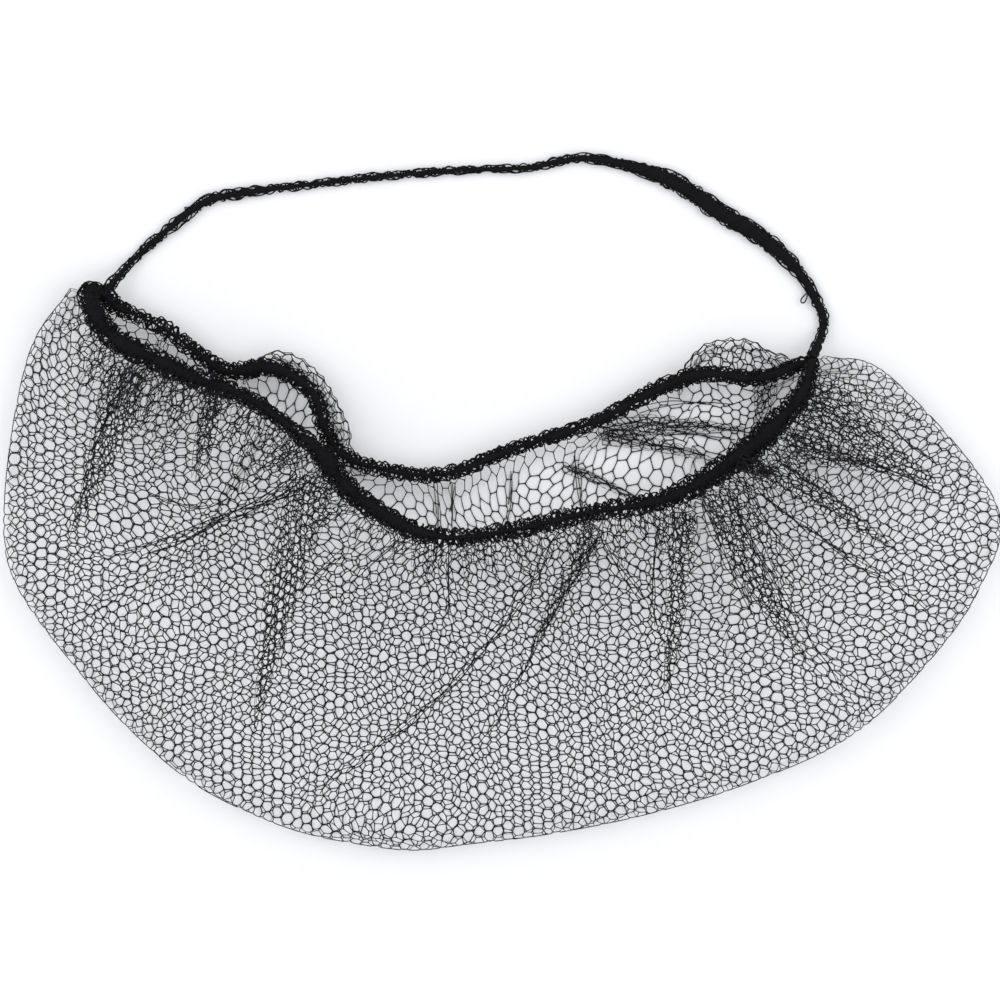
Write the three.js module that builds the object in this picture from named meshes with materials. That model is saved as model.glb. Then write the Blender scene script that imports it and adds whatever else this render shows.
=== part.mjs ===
// A beard net lying open on a table: a gathered honeycomb net pouch, the knitted elastic band round
// its mouth and a thin knitted head strap. Millimetres, +Z up, the table at z = 0.

import * as THREE from 'three';

// Net wall and the clearance between sewn pieces
const NET_WALL = 1;
const HALF_WALL = NET_WALL / 2;
const SEAT_GAP = 0.6;

// Heights above the table
const FRONT_RIM_CORNER = 13;
const FRONT_RIM_MIDDLE = 20.5;
const BACK_RIM = 7.5;
const CROWN_RISE = 9;
const OUTER_FOLD = 5.6;
const PUFF_LIFT = 2;
const PUFF_RISE = 2;

// Extra plan distance over which a puff comes to leave the band sideways instead of from below
const PUFF_BLEND = 6.5;

// A meridian leaves the front rim and meets the outer fold squarely, over this share of its length
const SQUARE_SHARE = 0.3;

// Where there is no puff, the back wall lifts off the table this far before its rim
const BACK_RAMP = 11;

// How far the band swings out where it turns at the corners of the mouth
const CORNER_SWING = { left: [-3.4, 2.6], right: [3, 1.6] };

// Small gathers along the front rim; they and the long folds fade out before the outer fold
const GATHER_COUNT = 20;
const GATHER_HEIGHT = 2.2;
const GATHER_REACH = 16;
const RIM_CLEAR = 3;
const SHORT_WALL = 45;
const FADE_FROM = 0.7;

// Head strap
const STRAP_THICKNESS = 2.8;
const STRAP_END_HEIGHT = 7;

// Faces
const RIM_STEPS = 80;
const STRAP_STEPS = 60;
const ROUND_SIDES = 8;

// Sections of the pouch from the left to the right corner of the mouth, in plan.
// front and back: centre of the band on each rim, edge: the outer fold, turn: where the back wall
// turns up to its rim (at the rim itself if not given), frontBand and backBand: thickness of the band.
const SECTIONS = [
  { front: [-130.5, 62.5], edge: [-141, 62], back: [-127, 66], frontBand: 6, backBand: 5.6 },
  { front: [-128, 57], edge: [-151.5, 46.5], back: [-122, 63], frontBand: 7.4, backBand: 5.4 },
  { front: [-121.5, 50.5], edge: [-159, 3], back: [-114.5, 59], frontBand: 7.8, backBand: 5 },
  { front: [-109.5, 44.5], edge: [-156, -26], back: [-105.5, 53.5], frontBand: 7.8, backBand: 5 },
  { front: [-95.5, 38], edge: [-132.5, -58.5], back: [-95, 47], frontBand: 7.2, backBand: 5.2 },
  { front: [-87, 35.5], edge: [-116, -76.5], back: [-86.5, 42.5], frontBand: 6, backBand: 6.2 },
  { front: [-75.5, 29.5], edge: [-98.5, -91], turn: [-73.5, 49.5], back: [-73.5, 42.5], frontBand: 5, backBand: 7 },
  { front: [-64.5, 21], edge: [-80.5, -100.5], turn: [-57.5, 41.5], back: [-60.5, 35], frontBand: 5, backBand: 7 },
  { front: [-57.5, 15.5], edge: [-64.5, -106.5], turn: [-47.5, 24], back: [-56, 22.5], frontBand: 6, backBand: 6.2 },
  { front: [-49, 4], edge: [-48.5, -110], turn: [-43.5, 17.5], back: [-49, 13.5], frontBand: 7.2, backBand: 5.2 },
  { front: [-31.5, -8], edge: [-28.5, -112.5], back: [-30.5, 8.5], frontBand: 7.4, backBand: 5 },
  { front: [-15.5, -12], edge: [-10, -110.5], back: [-14.5, 9], frontBand: 7.2, backBand: 5 },
  { front: [4.5, -9.5], edge: [14.5, -107.5], back: [3, 16], frontBand: 6.6, backBand: 5 },
  { front: [29, -4], edge: [45, -101.5], back: [29, 24.5], frontBand: 6.4, backBand: 5 },
  { front: [52, 0], edge: [77, -92], turn: [49.8, 39.5], back: [51.5, 36], frontBand: 7, backBand: 5.4 },
  { front: [68, 8], edge: [111, -77], turn: [65, 50.5], back: [66.5, 40.5], frontBand: 7.6, backBand: 6 },
  { front: [79.5, 16], edge: [135, -55], turn: [79, 52.5], back: [79.5, 39], frontBand: 7.8, backBand: 6 },
  { front: [89, 25], edge: [154, -28.5], turn: [86, 47.5], back: [88.5, 40.5], frontBand: 7.6, backBand: 5.8 },
  { front: [95, 31.5], edge: [158.8, -3], back: [93.5, 42.5], frontBand: 7.2, backBand: 5.6 },
  { front: [97.5, 35.5], edge: [141, 29], back: [96, 43.5], frontBand: 6.6, backBand: 5.6 },
  { front: [98.8, 40], edge: [113, 45.5], back: [99.5, 44.5], frontBand: 6, backBand: 5.6 },
];

// Shape of the front wall between its rim and the outer fold: share of the way, share of the crown height
const FRONT_WALL = [
  { along: 0.1, height: 0.92 },
  { along: 0.3, height: 1 },
  { along: 0.58, height: 0.94 },
  { along: 0.82, height: 0.6 },
];

// Shares of the way from the outer fold to the turn where the back wall lies flat on the table
const BACK_WALL = [0.2, 0.5, 0.85];

// Last points of the back wall: share of the ramp before the turn, share of the rise without and with a puff
const BACK_TURN = [
  { back: 1, flat: 0, puffed: 0 },
  { back: 0.5, flat: 0, puffed: 0.5 },
  { back: 0.2, flat: 0.5, puffed: 1 },
];

// Steps taken between neighbouring control points of a meridian, from the front rim to the back rim
const MERIDIAN_STEPS = [2, 1, 2, 2, 2, 2, 2, 1, 1, 1, 1, 2, 2, 1];

// Long folds of the front wall: a raised crease from the rim end to the far end, with its half width
const FOLDS = [
  { from: [-125, 40], to: [-138, -13], width: 6, height: 5 },
  { from: [-94.5, 33.5], to: [-97, 3], width: 4, height: 4 },
  { from: [-66, 1.5], to: [-103, -12.5], width: 4, height: 4 },
  { from: [-96.5, -11.5], to: [-144, -22], width: 4, height: 4 },
  { from: [-58.5, 0], to: [-78, -74], width: 6, height: 7 },
  { from: [13.5, -13.5], to: [-64.5, -96], width: 4, height: 5 },
  { from: [32.5, -13], to: [-6.5, -79], width: 4, height: 5 },
  { from: [32.5, -13.5], to: [49.5, -39], width: 4, height: 4 },
  { from: [56.5, -9], to: [51.5, -66], width: 5, height: 6 },
  { from: [68, -2], to: [114.5, -65.5], width: 5, height: 6 },
  { from: [86, 3], to: [138, -34.5], width: 5, height: 5 },
  { from: [102, 9.5], to: [130.5, -18], width: 5, height: 5 },
];

// Route of the head strap on the table from the left to the right corner, with its width
const STRAP = [
  { at: [-124.6, 69.3], width: 3.6 },
  { at: [-117, 78], width: 3.6 },
  { at: [-105.5, 88], width: 4.2 },
  { at: [-95.5, 95.5], width: 4.2 },
  { at: [-84.5, 98.5], width: 4 },
  { at: [-64.5, 101], width: 3.4 },
  { at: [-38, 104], width: 3.4 },
  { at: [-13, 106], width: 3.4 },
  { at: [9, 107], width: 3.6 },
  { at: [18, 109.5], width: 4 },
  { at: [27.5, 111], width: 4.2 },
  { at: [38, 109], width: 5 },
  { at: [46.5, 106.5], width: 6.4 },
  { at: [54, 103.5], width: 7.4 },
  { at: [62, 98.5], width: 7.8 },
  { at: [71.5, 92], width: 7.8 },
  { at: [82, 86], width: 7.6 },
  { at: [90, 80], width: 6.6 },
  { at: [96.5, 73], width: 5 },
  { at: [101, 65.5], width: 4.4 },
  { at: [104, 58.5], width: 4.2 },
  { at: [103.2, 53], width: 4.2 },
  { at: [101.4, 49], width: 4.2 },
];

const UP = new THREE.Vector3(0, 0, 1);

// Smooth curve through one value of every row of a table
function through(rows, value) {
  const points = rows.map((row) => new THREE.Vector3(...value(row)));
  return new THREE.CatmullRomCurve3(points, false, 'catmullrom');
}

const frontPlan = through(SECTIONS, (row) => [...row.front, 0]);
const edgePlan = through(SECTIONS, (row) => [...row.edge, 0]);
const turnPlan = through(SECTIONS, (row) => [...(row.turn ?? row.back), 0]);
const backPlan = through(SECTIONS, (row) => [...row.back, 0]);
const bandSizes = through(SECTIONS, (row) => [row.frontBand, row.backBand, 0]);

// The front rim is lowest at the corners of the mouth
function frontRimHeight(u) {
  return FRONT_RIM_CORNER + (FRONT_RIM_MIDDLE - FRONT_RIM_CORNER) * Math.sin(Math.PI * u);
}

function frontRim(u) {
  return frontPlan.getPoint(u).setZ(frontRimHeight(u));
}

// Distance from the centre of the band to the middle of the net sewn on beside it
function seatReach(band) {
  return band / 2 + SEAT_GAP + HALF_WALL;
}

// From 0, where the net hangs straight under the back rim, to 1, where it stands out in a full puff
function puffShare(u) {
  const overhang = turnPlan.getPoint(u).distanceTo(backPlan.getPoint(u)) - seatReach(bandSizes.getPoint(u).y);
  return THREE.MathUtils.smoothstep(overhang, 0, PUFF_BLEND);
}

// A puff lies under the back rim and lifts it
function backRim(u) {
  return backPlan.getPoint(u).setZ(BACK_RIM + PUFF_LIFT * puffShare(u));
}

// Level direction to the left of a curve in plan
function leftOf(curve, u) {
  return UP.clone().cross(curve.getTangent(u)).normalize();
}

// Plan line between two points that leaves both of them in a given direction
function squareLine(start, startWay, end, endWay) {
  const handle = SQUARE_SHARE * start.distanceTo(end);
  return new THREE.CubicBezierCurve3(
    start,
    start.clone().addScaledVector(startWay, handle),
    end.clone().addScaledVector(endWay, handle),
    end,
  );
}

// Control points of one meridian: front rim, over the crown, round the outer fold, back under, back rim
function meridianControls(u) {
  const band = bandSizes.getPoint(u);
  const front = frontRim(u);
  const frontSide = leftOf(frontPlan, u).negate();
  const frontSeat = front.clone().addScaledVector(frontSide, seatReach(band.x));
  const crown = front.z + CROWN_RISE * Math.sin(Math.PI * u);
  const edge = edgePlan.getPoint(u);
  const inward = leftOf(edgePlan, u);
  const frontLine = squareLine(frontSeat.clone().setZ(0), frontSide, edge, inward);
  const back = backRim(u);
  const backReach = seatReach(band.y);
  const puff = puffShare(u);
  const seatAngle = (puff - 1) * Math.PI / 2;
  const turn = backPlan.getPoint(u).lerp(turnPlan.getPoint(u), Math.cos(seatAngle));
  const backSeat = back.clone()
    .addScaledVector(leftOf(backPlan, u), backReach * Math.cos(seatAngle))
    .addScaledVector(UP, backReach * Math.sin(seatAngle));
  const puffHeight = backSeat.z + PUFF_RISE * puff - HALF_WALL;
  const run = turn.clone().sub(edge);
  const ramp = run.clone().setLength((1 - puff) * Math.min(BACK_RAMP, run.length() / 2));

  const controls = [frontSeat];
  for (const { along, height } of FRONT_WALL) {
    controls.push(frontLine.getPoint(along).setZ(crown * height));
  }
  for (const level of [OUTER_FOLD, OUTER_FOLD / 2, HALF_WALL]) {
    controls.push(edge.clone().setZ(level));
  }
  const rampStart = turn.clone().sub(ramp);
  const backLine = squareLine(edge, inward, rampStart, run.clone().negate().normalize());
  for (const share of BACK_WALL) {
    controls.push(backLine.getPoint(share).setZ(HALF_WALL));
  }
  for (const { back: setBack, flat, puffed } of BACK_TURN) {
    const level = THREE.MathUtils.lerp(flat, puffed, puff);
    controls.push(turn.clone().addScaledVector(ramp, -setBack).setZ(HALF_WALL + puffHeight * level));
  }
  controls.push(backSeat);
  return controls;
}

// Point of a uniform cubic B-spline that starts and ends on its first and last control point
function splinePoint(controls, segment, share) {
  const last = controls.length - 1;
  const before = controls[0].clone().multiplyScalar(2).sub(controls[1]);
  const after = controls[last].clone().multiplyScalar(2).sub(controls[last - 1]);
  const hull = [before, ...controls, after].slice(segment, segment + 4);
  const rest = 1 - share;
  const weights = [
    rest ** 3,
    3 * share ** 3 - 6 * share ** 2 + 4,
    3 * rest ** 3 - 6 * rest ** 2 + 4,
    share ** 3,
  ];
  const point = new THREE.Vector3();
  hull.forEach((control, i) => point.addScaledVector(control, weights[i] / 6));
  return point;
}

// Height added by the long folds at a point of the front wall
function foldLift(point) {
  let lift = 0;
  for (const { from, to, width, height } of FOLDS) {
    const start = new THREE.Vector2(...from);
    const line = new THREE.Vector2(...to).sub(start);
    const offset = new THREE.Vector2(point.x, point.y).sub(start);
    const share = THREE.MathUtils.clamp(offset.dot(line) / line.lengthSq(), 0, 1);
    const distance = offset.addScaledVector(line, -share).length();
    lift += height * (1 - share ** 2) * Math.exp(-((distance / width) ** 2));
  }
  return lift;
}

// Height added by the small gathers, which start at the band and die out on the way to the fold
function gatherLift(u, distance) {
  const wave = 0.5 - 0.5 * Math.cos(2 * Math.PI * GATHER_COUNT * u);
  return GATHER_HEIGHT * wave * Math.exp(-distance / GATHER_REACH);
}

// Middle surface of the net along one meridian, with folds and gathers on the front wall
function meridian(u) {
  const controls = meridianControls(u);
  const [seat] = controls;
  const foldIndex = FRONT_WALL.length + 1;
  const wall = Math.hypot(controls[foldIndex].x - seat.x, controls[foldIndex].y - seat.y);
  const points = [];
  MERIDIAN_STEPS.forEach((steps, segment) => {
    for (let step = 0; step < steps; step += 1) {
      const point = splinePoint(controls, segment, step / steps);
      if (segment < foldIndex) {
        const distance = Math.hypot(point.x - seat.x, point.y - seat.y);
        const room = Math.min(1, wall / SHORT_WALL) * (1 - Math.exp(-distance / RIM_CLEAR));
        const fade = 1 - THREE.MathUtils.smoothstep(distance / wall, FADE_FROM, 1);
        point.z += room * fade * (foldLift(point) + gatherLift(u, distance));
      }
      points.push(point);
    }
  });
  points.push(controls[controls.length - 1].clone());
  return points;
}

// Closed body through rings of equal length, joined in a loop or capped by zipping its end rings shut.
// The two halves of a ring are split along the same diagonal, so that a thin wall's faces run alike.
function loft(rings, looped) {
  const sides = rings[0].length;
  const index = [];
  const spans = looped ? rings.length : rings.length - 1;
  for (let i = 0; i < spans; i += 1) {
    const here = i * sides;
    const next = ((i + 1) % rings.length) * sides;
    for (let j = 0; j < sides; j += 1) {
      const k = (j + 1) % sides;
      if (j < sides / 2) {
        index.push(here + j, here + k, next + k);
        index.push(here + j, next + k, next + j);
      } else {
        index.push(here + j, here + k, next + j);
        index.push(here + k, next + k, next + j);
      }
    }
  }
  if (!looped) {
    const end = (rings.length - 1) * sides;
    for (let j = 0; j < sides / 2 - 1; j += 1) {
      const [a, b, c, d] = [j, j + 1, sides - 2 - j, sides - 1 - j];
      index.push(c, b, a, d, c, a);
      index.push(end + a, end + b, end + c, end + a, end + c, end + d);
    }
  }
  const positions = rings.flat().flatMap((point) => point.toArray());
  const geometry = new THREE.BufferGeometry();
  geometry.setAttribute('position', new THREE.Float32BufferAttribute(positions, 3));
  geometry.setIndex(index);
  geometry.computeVertexNormals();
  return geometry;
}

// The pouch: both faces of the net lie half a wall from its middle surface
function pouchGeometry() {
  const middle = [];
  for (let i = 0; i <= RIM_STEPS; i += 1) {
    middle.push(meridian(i / RIM_STEPS));
  }
  const last = middle[0].length - 1;
  const rings = middle.map((points, i) => {
    const before = middle[Math.max(i - 1, 0)];
    const after = middle[Math.min(i + 1, RIM_STEPS)];
    const offsets = points.map((point, j) => {
      const across = after[j].clone().sub(before[j]);
      const down = points[Math.min(j + 1, last)].clone().sub(points[Math.max(j - 1, 0)]);
      return down.cross(across).setLength(HALF_WALL);
    });
    const outer = points.map((point, j) => point.clone().add(offsets[j]));
    const inner = points.map((point, j) => point.clone().sub(offsets[j]));
    return [...outer, ...inner.reverse()];
  });
  return loft(rings, false);
}

// Rings of a tube with flat sides towards its neighbours, level across the path
function tubeRings(centres, widths, heights, looped) {
  const count = centres.length;
  return centres.map((centre, i) => {
    const before = looped ? centres[(i + count - 1) % count] : centres[Math.max(i - 1, 0)];
    const after = looped ? centres[(i + 1) % count] : centres[Math.min(i + 1, count - 1)];
    const forward = after.clone().sub(before).normalize();
    const side = UP.clone().cross(forward).normalize();
    const rise = forward.clone().cross(side);
    const grow = 1 / Math.cos(Math.PI / ROUND_SIDES);
    const ring = [];
    for (let j = 0; j < ROUND_SIDES; j += 1) {
      const angle = 2 * Math.PI * (j + 0.5) / ROUND_SIDES;
      ring.push(centre.clone()
        .addScaledVector(side, grow * Math.cos(angle) * widths[i] / 2)
        .addScaledVector(rise, grow * Math.sin(angle) * heights[i] / 2));
    }
    return ring;
  });
}

// The mouth band: along the front rim, round the right corner, back along the back rim, round the left
function bandGeometry() {
  const front = [];
  const frontSizes = [];
  const back = [];
  const backSizes = [];
  for (let i = 0; i <= RIM_STEPS; i += 1) {
    const u = i / RIM_STEPS;
    front.push(frontRim(u));
    frontSizes.push(bandSizes.getPoint(u).x);
    back.unshift(backRim(u));
    backSizes.unshift(bandSizes.getPoint(u).y);
  }
  const corner = (from, to, [x, y]) => from.clone().lerp(to, 0.5).add(new THREE.Vector3(x, y, 0));
  const right = corner(front[RIM_STEPS], back[0], CORNER_SWING.right);
  const left = corner(back[RIM_STEPS], front[0], CORNER_SWING.left);
  const centres = [...front, right, ...back, left];
  const sizes = [...frontSizes, backSizes[0], ...backSizes, frontSizes[0]];
  return loft(tubeRings(centres, sizes, sizes, true), true);
}

// The head strap lies on the table and lifts to the band at both ends
function strapGeometry() {
  const rest = STRAP_THICKNESS / 2;
  const ends = [0, STRAP.length - 1];
  const lifted = STRAP.map((row, i) => ({ ...row, height: ends.includes(i) ? STRAP_END_HEIGHT : rest }));
  const route = through(lifted, (row) => [...row.at, row.height]);
  const widths = through(STRAP, (row) => [row.width, 0, 0]);
  const centres = [];
  const across = [];
  const thick = [];
  for (let i = 0; i <= STRAP_STEPS; i += 1) {
    const u = i / STRAP_STEPS;
    const centre = route.getPoint(u);
    centre.z = Math.max(centre.z, rest);
    centres.push(centre);
    across.push(widths.getPoint(u).x);
    thick.push(STRAP_THICKNESS);
  }
  return loft(tubeRings(centres, across, thick, false), false);
}

// Looks of the pieces
const netThread = new THREE.MeshStandardMaterial({ color: 0x18181c, roughness: 0.6, metalness: 0 });
const knitElastic = new THREE.MeshStandardMaterial({ color: 0x111114, roughness: 0.85, metalness: 0 });

function piece(name, geometry, material) {
  const mesh = new THREE.Mesh(geometry, material);
  mesh.name = name;
  return mesh;
}

const beardNet = new THREE.Group();
beardNet.add(piece('net_pouch', pouchGeometry(), netThread));
beardNet.add(piece('mouth_band', bandGeometry(), knitElastic));
beardNet.add(piece('head_strap', strapGeometry(), knitElastic));

export default beardNet;
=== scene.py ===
"""Beard net lying open on a table: honeycomb net pouch, knitted mouth rim and knitted head strap."""

from collections import namedtuple
from itertools import chain

import bpy
import numpy as np
from bpy.props import FloatProperty, FloatVectorProperty, IntProperty, PointerProperty
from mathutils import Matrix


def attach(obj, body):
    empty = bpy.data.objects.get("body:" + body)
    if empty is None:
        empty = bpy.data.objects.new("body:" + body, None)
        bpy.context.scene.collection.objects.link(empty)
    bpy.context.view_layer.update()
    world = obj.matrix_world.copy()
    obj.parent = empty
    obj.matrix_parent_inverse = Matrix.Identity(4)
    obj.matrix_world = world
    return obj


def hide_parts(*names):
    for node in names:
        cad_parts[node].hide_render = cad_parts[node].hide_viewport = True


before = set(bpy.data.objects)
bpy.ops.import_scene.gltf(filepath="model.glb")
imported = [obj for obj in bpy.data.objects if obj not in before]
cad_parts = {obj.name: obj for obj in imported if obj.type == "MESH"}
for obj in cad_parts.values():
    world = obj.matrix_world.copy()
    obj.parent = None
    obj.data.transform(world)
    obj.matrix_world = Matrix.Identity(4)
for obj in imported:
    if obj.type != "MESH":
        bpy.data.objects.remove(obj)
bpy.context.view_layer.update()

bl_info = {
    "name": "Beard Net",
    "version": (1, 0, 0),
    "blender": (4, 5, 0),
    "location": "3D View > Sidebar > Beard Net",
    "description": "Builds a honeycomb beard net with its knitted rim and head strap",
    "category": "Object",
}

# Shapes are worked out in millimetres and stored in metres
MM = 0.001
BODY = "root"
UP = np.array((0.0, 0.0, 1.0))
TURN = 2 * np.pi

# Sections of the pouch from the left to the right corner of the mouth, in plan
Section = namedtuple("Section", "front edge turn back front_band back_band")
SECTIONS = (
    Section((-130.5, 62.5), (-138, 68), None, (-127, 66), 6, 5.6),
    Section((-128, 57), (-151.5, 46.5), None, (-123, 62), 7.4, 5.4),
    Section((-121.5, 50.5), (-159, 3), None, (-114.5, 58.3), 7.8, 5),
    Section((-109.5, 44.5), (-156, -26), None, (-105.5, 53.5), 7.8, 5),
    Section((-95.5, 38), (-132.5, -58.5), None, (-95, 45.5), 7.2, 5.2),
    Section((-87, 35.5), (-116, -76.5), None, (-86.5, 41), 6, 6.2),
    Section((-75.5, 29.5), (-98.5, -91), (-71.5, 48.8), (-73.5, 42.5), 5, 7),
    Section((-64.5, 21), (-80.5, -100.5), (-57.5, 41.5), (-60.5, 35), 5, 7),
    Section((-57.5, 15.5), (-64.5, -106.5), (-47.5, 24), (-56, 22.5), 6, 6.2),
    Section((-49, 4), (-48.5, -110), (-46, 17), (-49, 13.5), 7.2, 5.2),
    Section((-31.5, -8), (-28.5, -112.5), None, (-30.5, 8.5), 7.4, 5),
    Section((-15.5, -12), (-10, -110.5), None, (-14.5, 9), 7.2, 5),
    Section((4.5, -9.5), (14.5, -107.5), None, (3, 16), 6.6, 5),
    Section((29, -4), (45, -101.5), None, (29, 24.5), 6.4, 5),
    Section((52, 0), (77, -92), None, (51.5, 36), 7, 5.4),
    Section((68, 8), (111, -77), (65, 50.5), (66.5, 40.5), 7.6, 6),
    Section((79.5, 16), (135, -55), (79, 52.5), (79.5, 39), 7.8, 6),
    Section((89, 25), (154, -28.5), (86, 48.8), (88.5, 40.5), 7.6, 5.8),
    Section((95, 31.5), (159.2, -0.5), (93.5, 46.8), (93.5, 42.5), 7.2, 5.6),
    Section((97.5, 35.5), (125, 40), None, (96, 43.5), 6.6, 5.6),
    Section((98.8, 40), (104.5, 46.3), None, (99.5, 44.5), 6, 5.6),
)

# Heights of the pouch above the table and the places of its walls beside the band
FRONT_RIM_CORNER = 13
FRONT_RIM_MIDDLE = 20.5
BACK_RIM = 7.5
CROWN_RISE = 9
OUTER_FOLD = 5.6
PUFF_LIFT = 2
PUFF_RISE = 2
PUFF_BLEND = 4.0
PUFF_START = 0.6
SEAT = 1.1
BACK_RAMP = 11
NET_FLOOR = 0.3
ROLL = OUTER_FOLD / 2
CORNER_SWING = {"left": (-3.4, 2.6), "right": (0.8, 1.4)}

# Puffs behind the back rim: shares of the way along it where they begin and end
Puff = namedtuple("Puff", "name low high")
PUFFS = (
    Puff("left_puff_net", 0.27, 0.475),
    Puff("right_puff_net", 0.71, 0.925),
)

# Outline of a puff: depth and spacing of its scallops, inset of its shoulder and of its foot on the table,
# and how many seats inside the outline the back net ends
SCALLOP_DEPTH = 0.8
SCALLOP_STEP = 4.4
PUFF_SHOULDER = 1.6
PUFF_FOOT = 5
PUFF_TUCK = 4

# Points along the lines of the pouch, along bends, folds and strands, and across the puffs, and how many
# of a puff's lines are passed over from one point of its upper outline to the next
LINE_POINTS = 161
BEND_POINTS = 13
FOLD_POINTS = 25
STRAND_POINTS = 60
PUFF_LINES = 160
PUFF_STEPS = 16
PUFF_HEIGHTS = 80
PUFF_TOP_STEP = 4

# How a wall is gathered into its rim: share of the length along it, span from its middle, reach below it,
# distances from the outer fold over which it sets in
Gathering = namedtuple("Gathering", "pull span reach edge")
FRONT_GATHERING = Gathering(0.32, 50, 70, (0, 40))
BACK_GATHERING = Gathering(0.28, 30, 120, (1, 30))

# How far a wall hangs down from its rim: share of the distance below it, reach
Hang = namedtuple("Hang", "amount reach")
FRONT_HANG = Hang(0.4, 16)
BACK_HANG = Hang(0.25, 40)

# Distances from the rim and from the border over which a wall's net comes free to move
Slack = namedtuple("Slack", "rim border")
FRONT_SLACK = Slack((0, 8), (0, 10))
BACK_SLACK = Slack((1, 6), (1, 12))

# Front wall: share of the band's reach that hides its net, reach of the rim's grip on its folds, distances
# from the outer fold over which they set in
BAND_COVER = 0.5
RIM_GRIP = 3
FOLD_EDGE = (1, 14)

# Back wall: how far below the rim's middle it ends, distances ahead of the rim and places along X over which
# its gathering sets in, places along X over which it is pulled back up and by how much, share of the drift
BACK_DROP = 1
BACK_AHEAD = (-2, 2)
BACK_GATHER_X = (-68, -38)
BACK_PULL_X = (10, 45)
BACK_PULL = 0.55
BACK_DRIFT = -0.7

# Slow waves of the rows of cells: weight, shares of X and Y in the phase, length of one radian, start
Wave = namedtuple("Wave", "weight x y length start")
WAVES_X = (Wave(1.0, 0, 1, 11, 0.8), Wave(0.7, 1, 1, 17, 0.0), Wave(0.8, 1, 0, 13, 0.4))
WAVES_Y = (Wave(1.0, 1, 0, 12, 2.1), Wave(0.7, 1, -1, 19, 1.0), Wave(0.8, 0, 1, 12, 1.7))

# Front wall from its rim to the outer fold: share of the way, share of the crown height
WALL_SHAPE = ((0.1, 0.92), (0.3, 1.0), (0.58, 0.94), (0.82, 0.6))

# Creases that draw the net together: share of the distance, reach, height as a share of the half width,
# least half width
FRONT_CREASE_PULL = 0.26
BACK_CREASE_PULL = 0.12
CREASE_SPREAD = 11
CREASE_RISE = 0.4
CREASE_LEAST = 0.05

# Strands along a crease: half width from which there are three, first and last points, distance between their
# turns, stray to the sides as a share of the half width
BROAD_CREASE = 1.5
STRAND_STARTS = (0, 6)
STRAND_ENDS = (34, 60)
STRAND_STEP = 8.0
STRAND_STRAY = 0.8

# Single creases: plan route from the rim, half width
Crease = namedtuple("Crease", "start middle end width")
FRONT_CREASES = (
    Crease((-61.5, 9.5), (-103, -13.5), (-148, -21.5), 2.0),
    Crease((-64.5, 3), (-96.5, -10), (-125.5, -17), 1.4),
    Crease((-86.5, 0.5), (-100, -2), (-115.5, 3), 1.4),
    Crease((-49.5, -16), (-57, -22.5), (-63.5, -30.5), 1.4),
    Crease((-33, -13.5), (-40.5, -20), (-50, -29), 1.2),
    Crease((-16, -14.5), (-16, -29), (-16.5, -45), 1.2),
    Crease((-20.5, -14), (-20.5, -18), (-20, -22.5), 1.0),
    Crease((18.5, -8.5), (-13, -55.5), (-64.5, -96.5), 2.0),
    Crease((32, -9), (13, -43.5), (-6.5, -79), 2.0),
    Crease((32.5, -13.5), (41, -26), (49.5, -39), 1.4),
    Crease((52, -5.5), (48.5, -26), (51.5, -45), 1.2),
    Crease((65.5, -1), (75.5, -26.5), (93, -50), 1.6),
    Crease((73.5, 3.5), (89, -29), (115, -66), 2.0),
    Crease((81, 3.5), (110, -17), (138, -35.5), 1.8),
    Crease((93, 16), (121.5, 10), (144.5, 0), 1.8),
    Crease((-118, 41), (-128, 20), (-138, -12), 1.2),
    Crease((78, 6), (87, -10), (99, -27), 1.4),
    Crease((89, 12), (103, 3.5), (126, -13), 1.4),
    Crease((99, 33), (119, 27), (146, 6), 1.4),
)
BACK_CREASES = (
    Crease((-20.5, 6.5), (-20.5, 0), (-20.5, -14), 1.2),
    Crease((-15.5, 5.5), (-15.5, -2), (-16, -16), 1.6),
    Crease((3.5, 9.5), (3, 0), (0, -14), 1.0),
    Crease((24.5, 16), (25.5, 4), (27, -12), 1.2),
    Crease((20, 10.5), (34.5, 5), (52, -5), 1.2),
    Crease((33, 20.5), (52, 17.5), (72, 11.5), 1.4),
    Crease((31.5, 22.5), (54, 24), (82, 22.5), 1.4),
    Crease((52, 21.5), (64.5, 20.5), (78, 20), 1.2),
    Crease((44, 28.5), (60, 31), (78, 29), 1.4),
)

# Folds draw the net in: share of the distance, reach as a share of the half width, reach at the fold's end
FOLD_PULL = 0.3
FOLD_REACH = 1.3
FOLD_END_REACH = 1.5

# Layers in a fold: power of their taper, random shares of the half width to both sides, width left after
# the squeeze for each millimetre of half width, its limit and random part, spread of the rows' turn, step up
LAYER_TAPER = 2.2
LAYER_SIDES = (0.75, 1.1)
LAYER_SQUEEZE = 0.14
LAYER_SQUEEZE_LIMIT = 0.5
LAYER_SQUEEZE_SPREAD = 0.2
LAYER_TURN = 0.15
LAYER_STEP = 0.7

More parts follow.
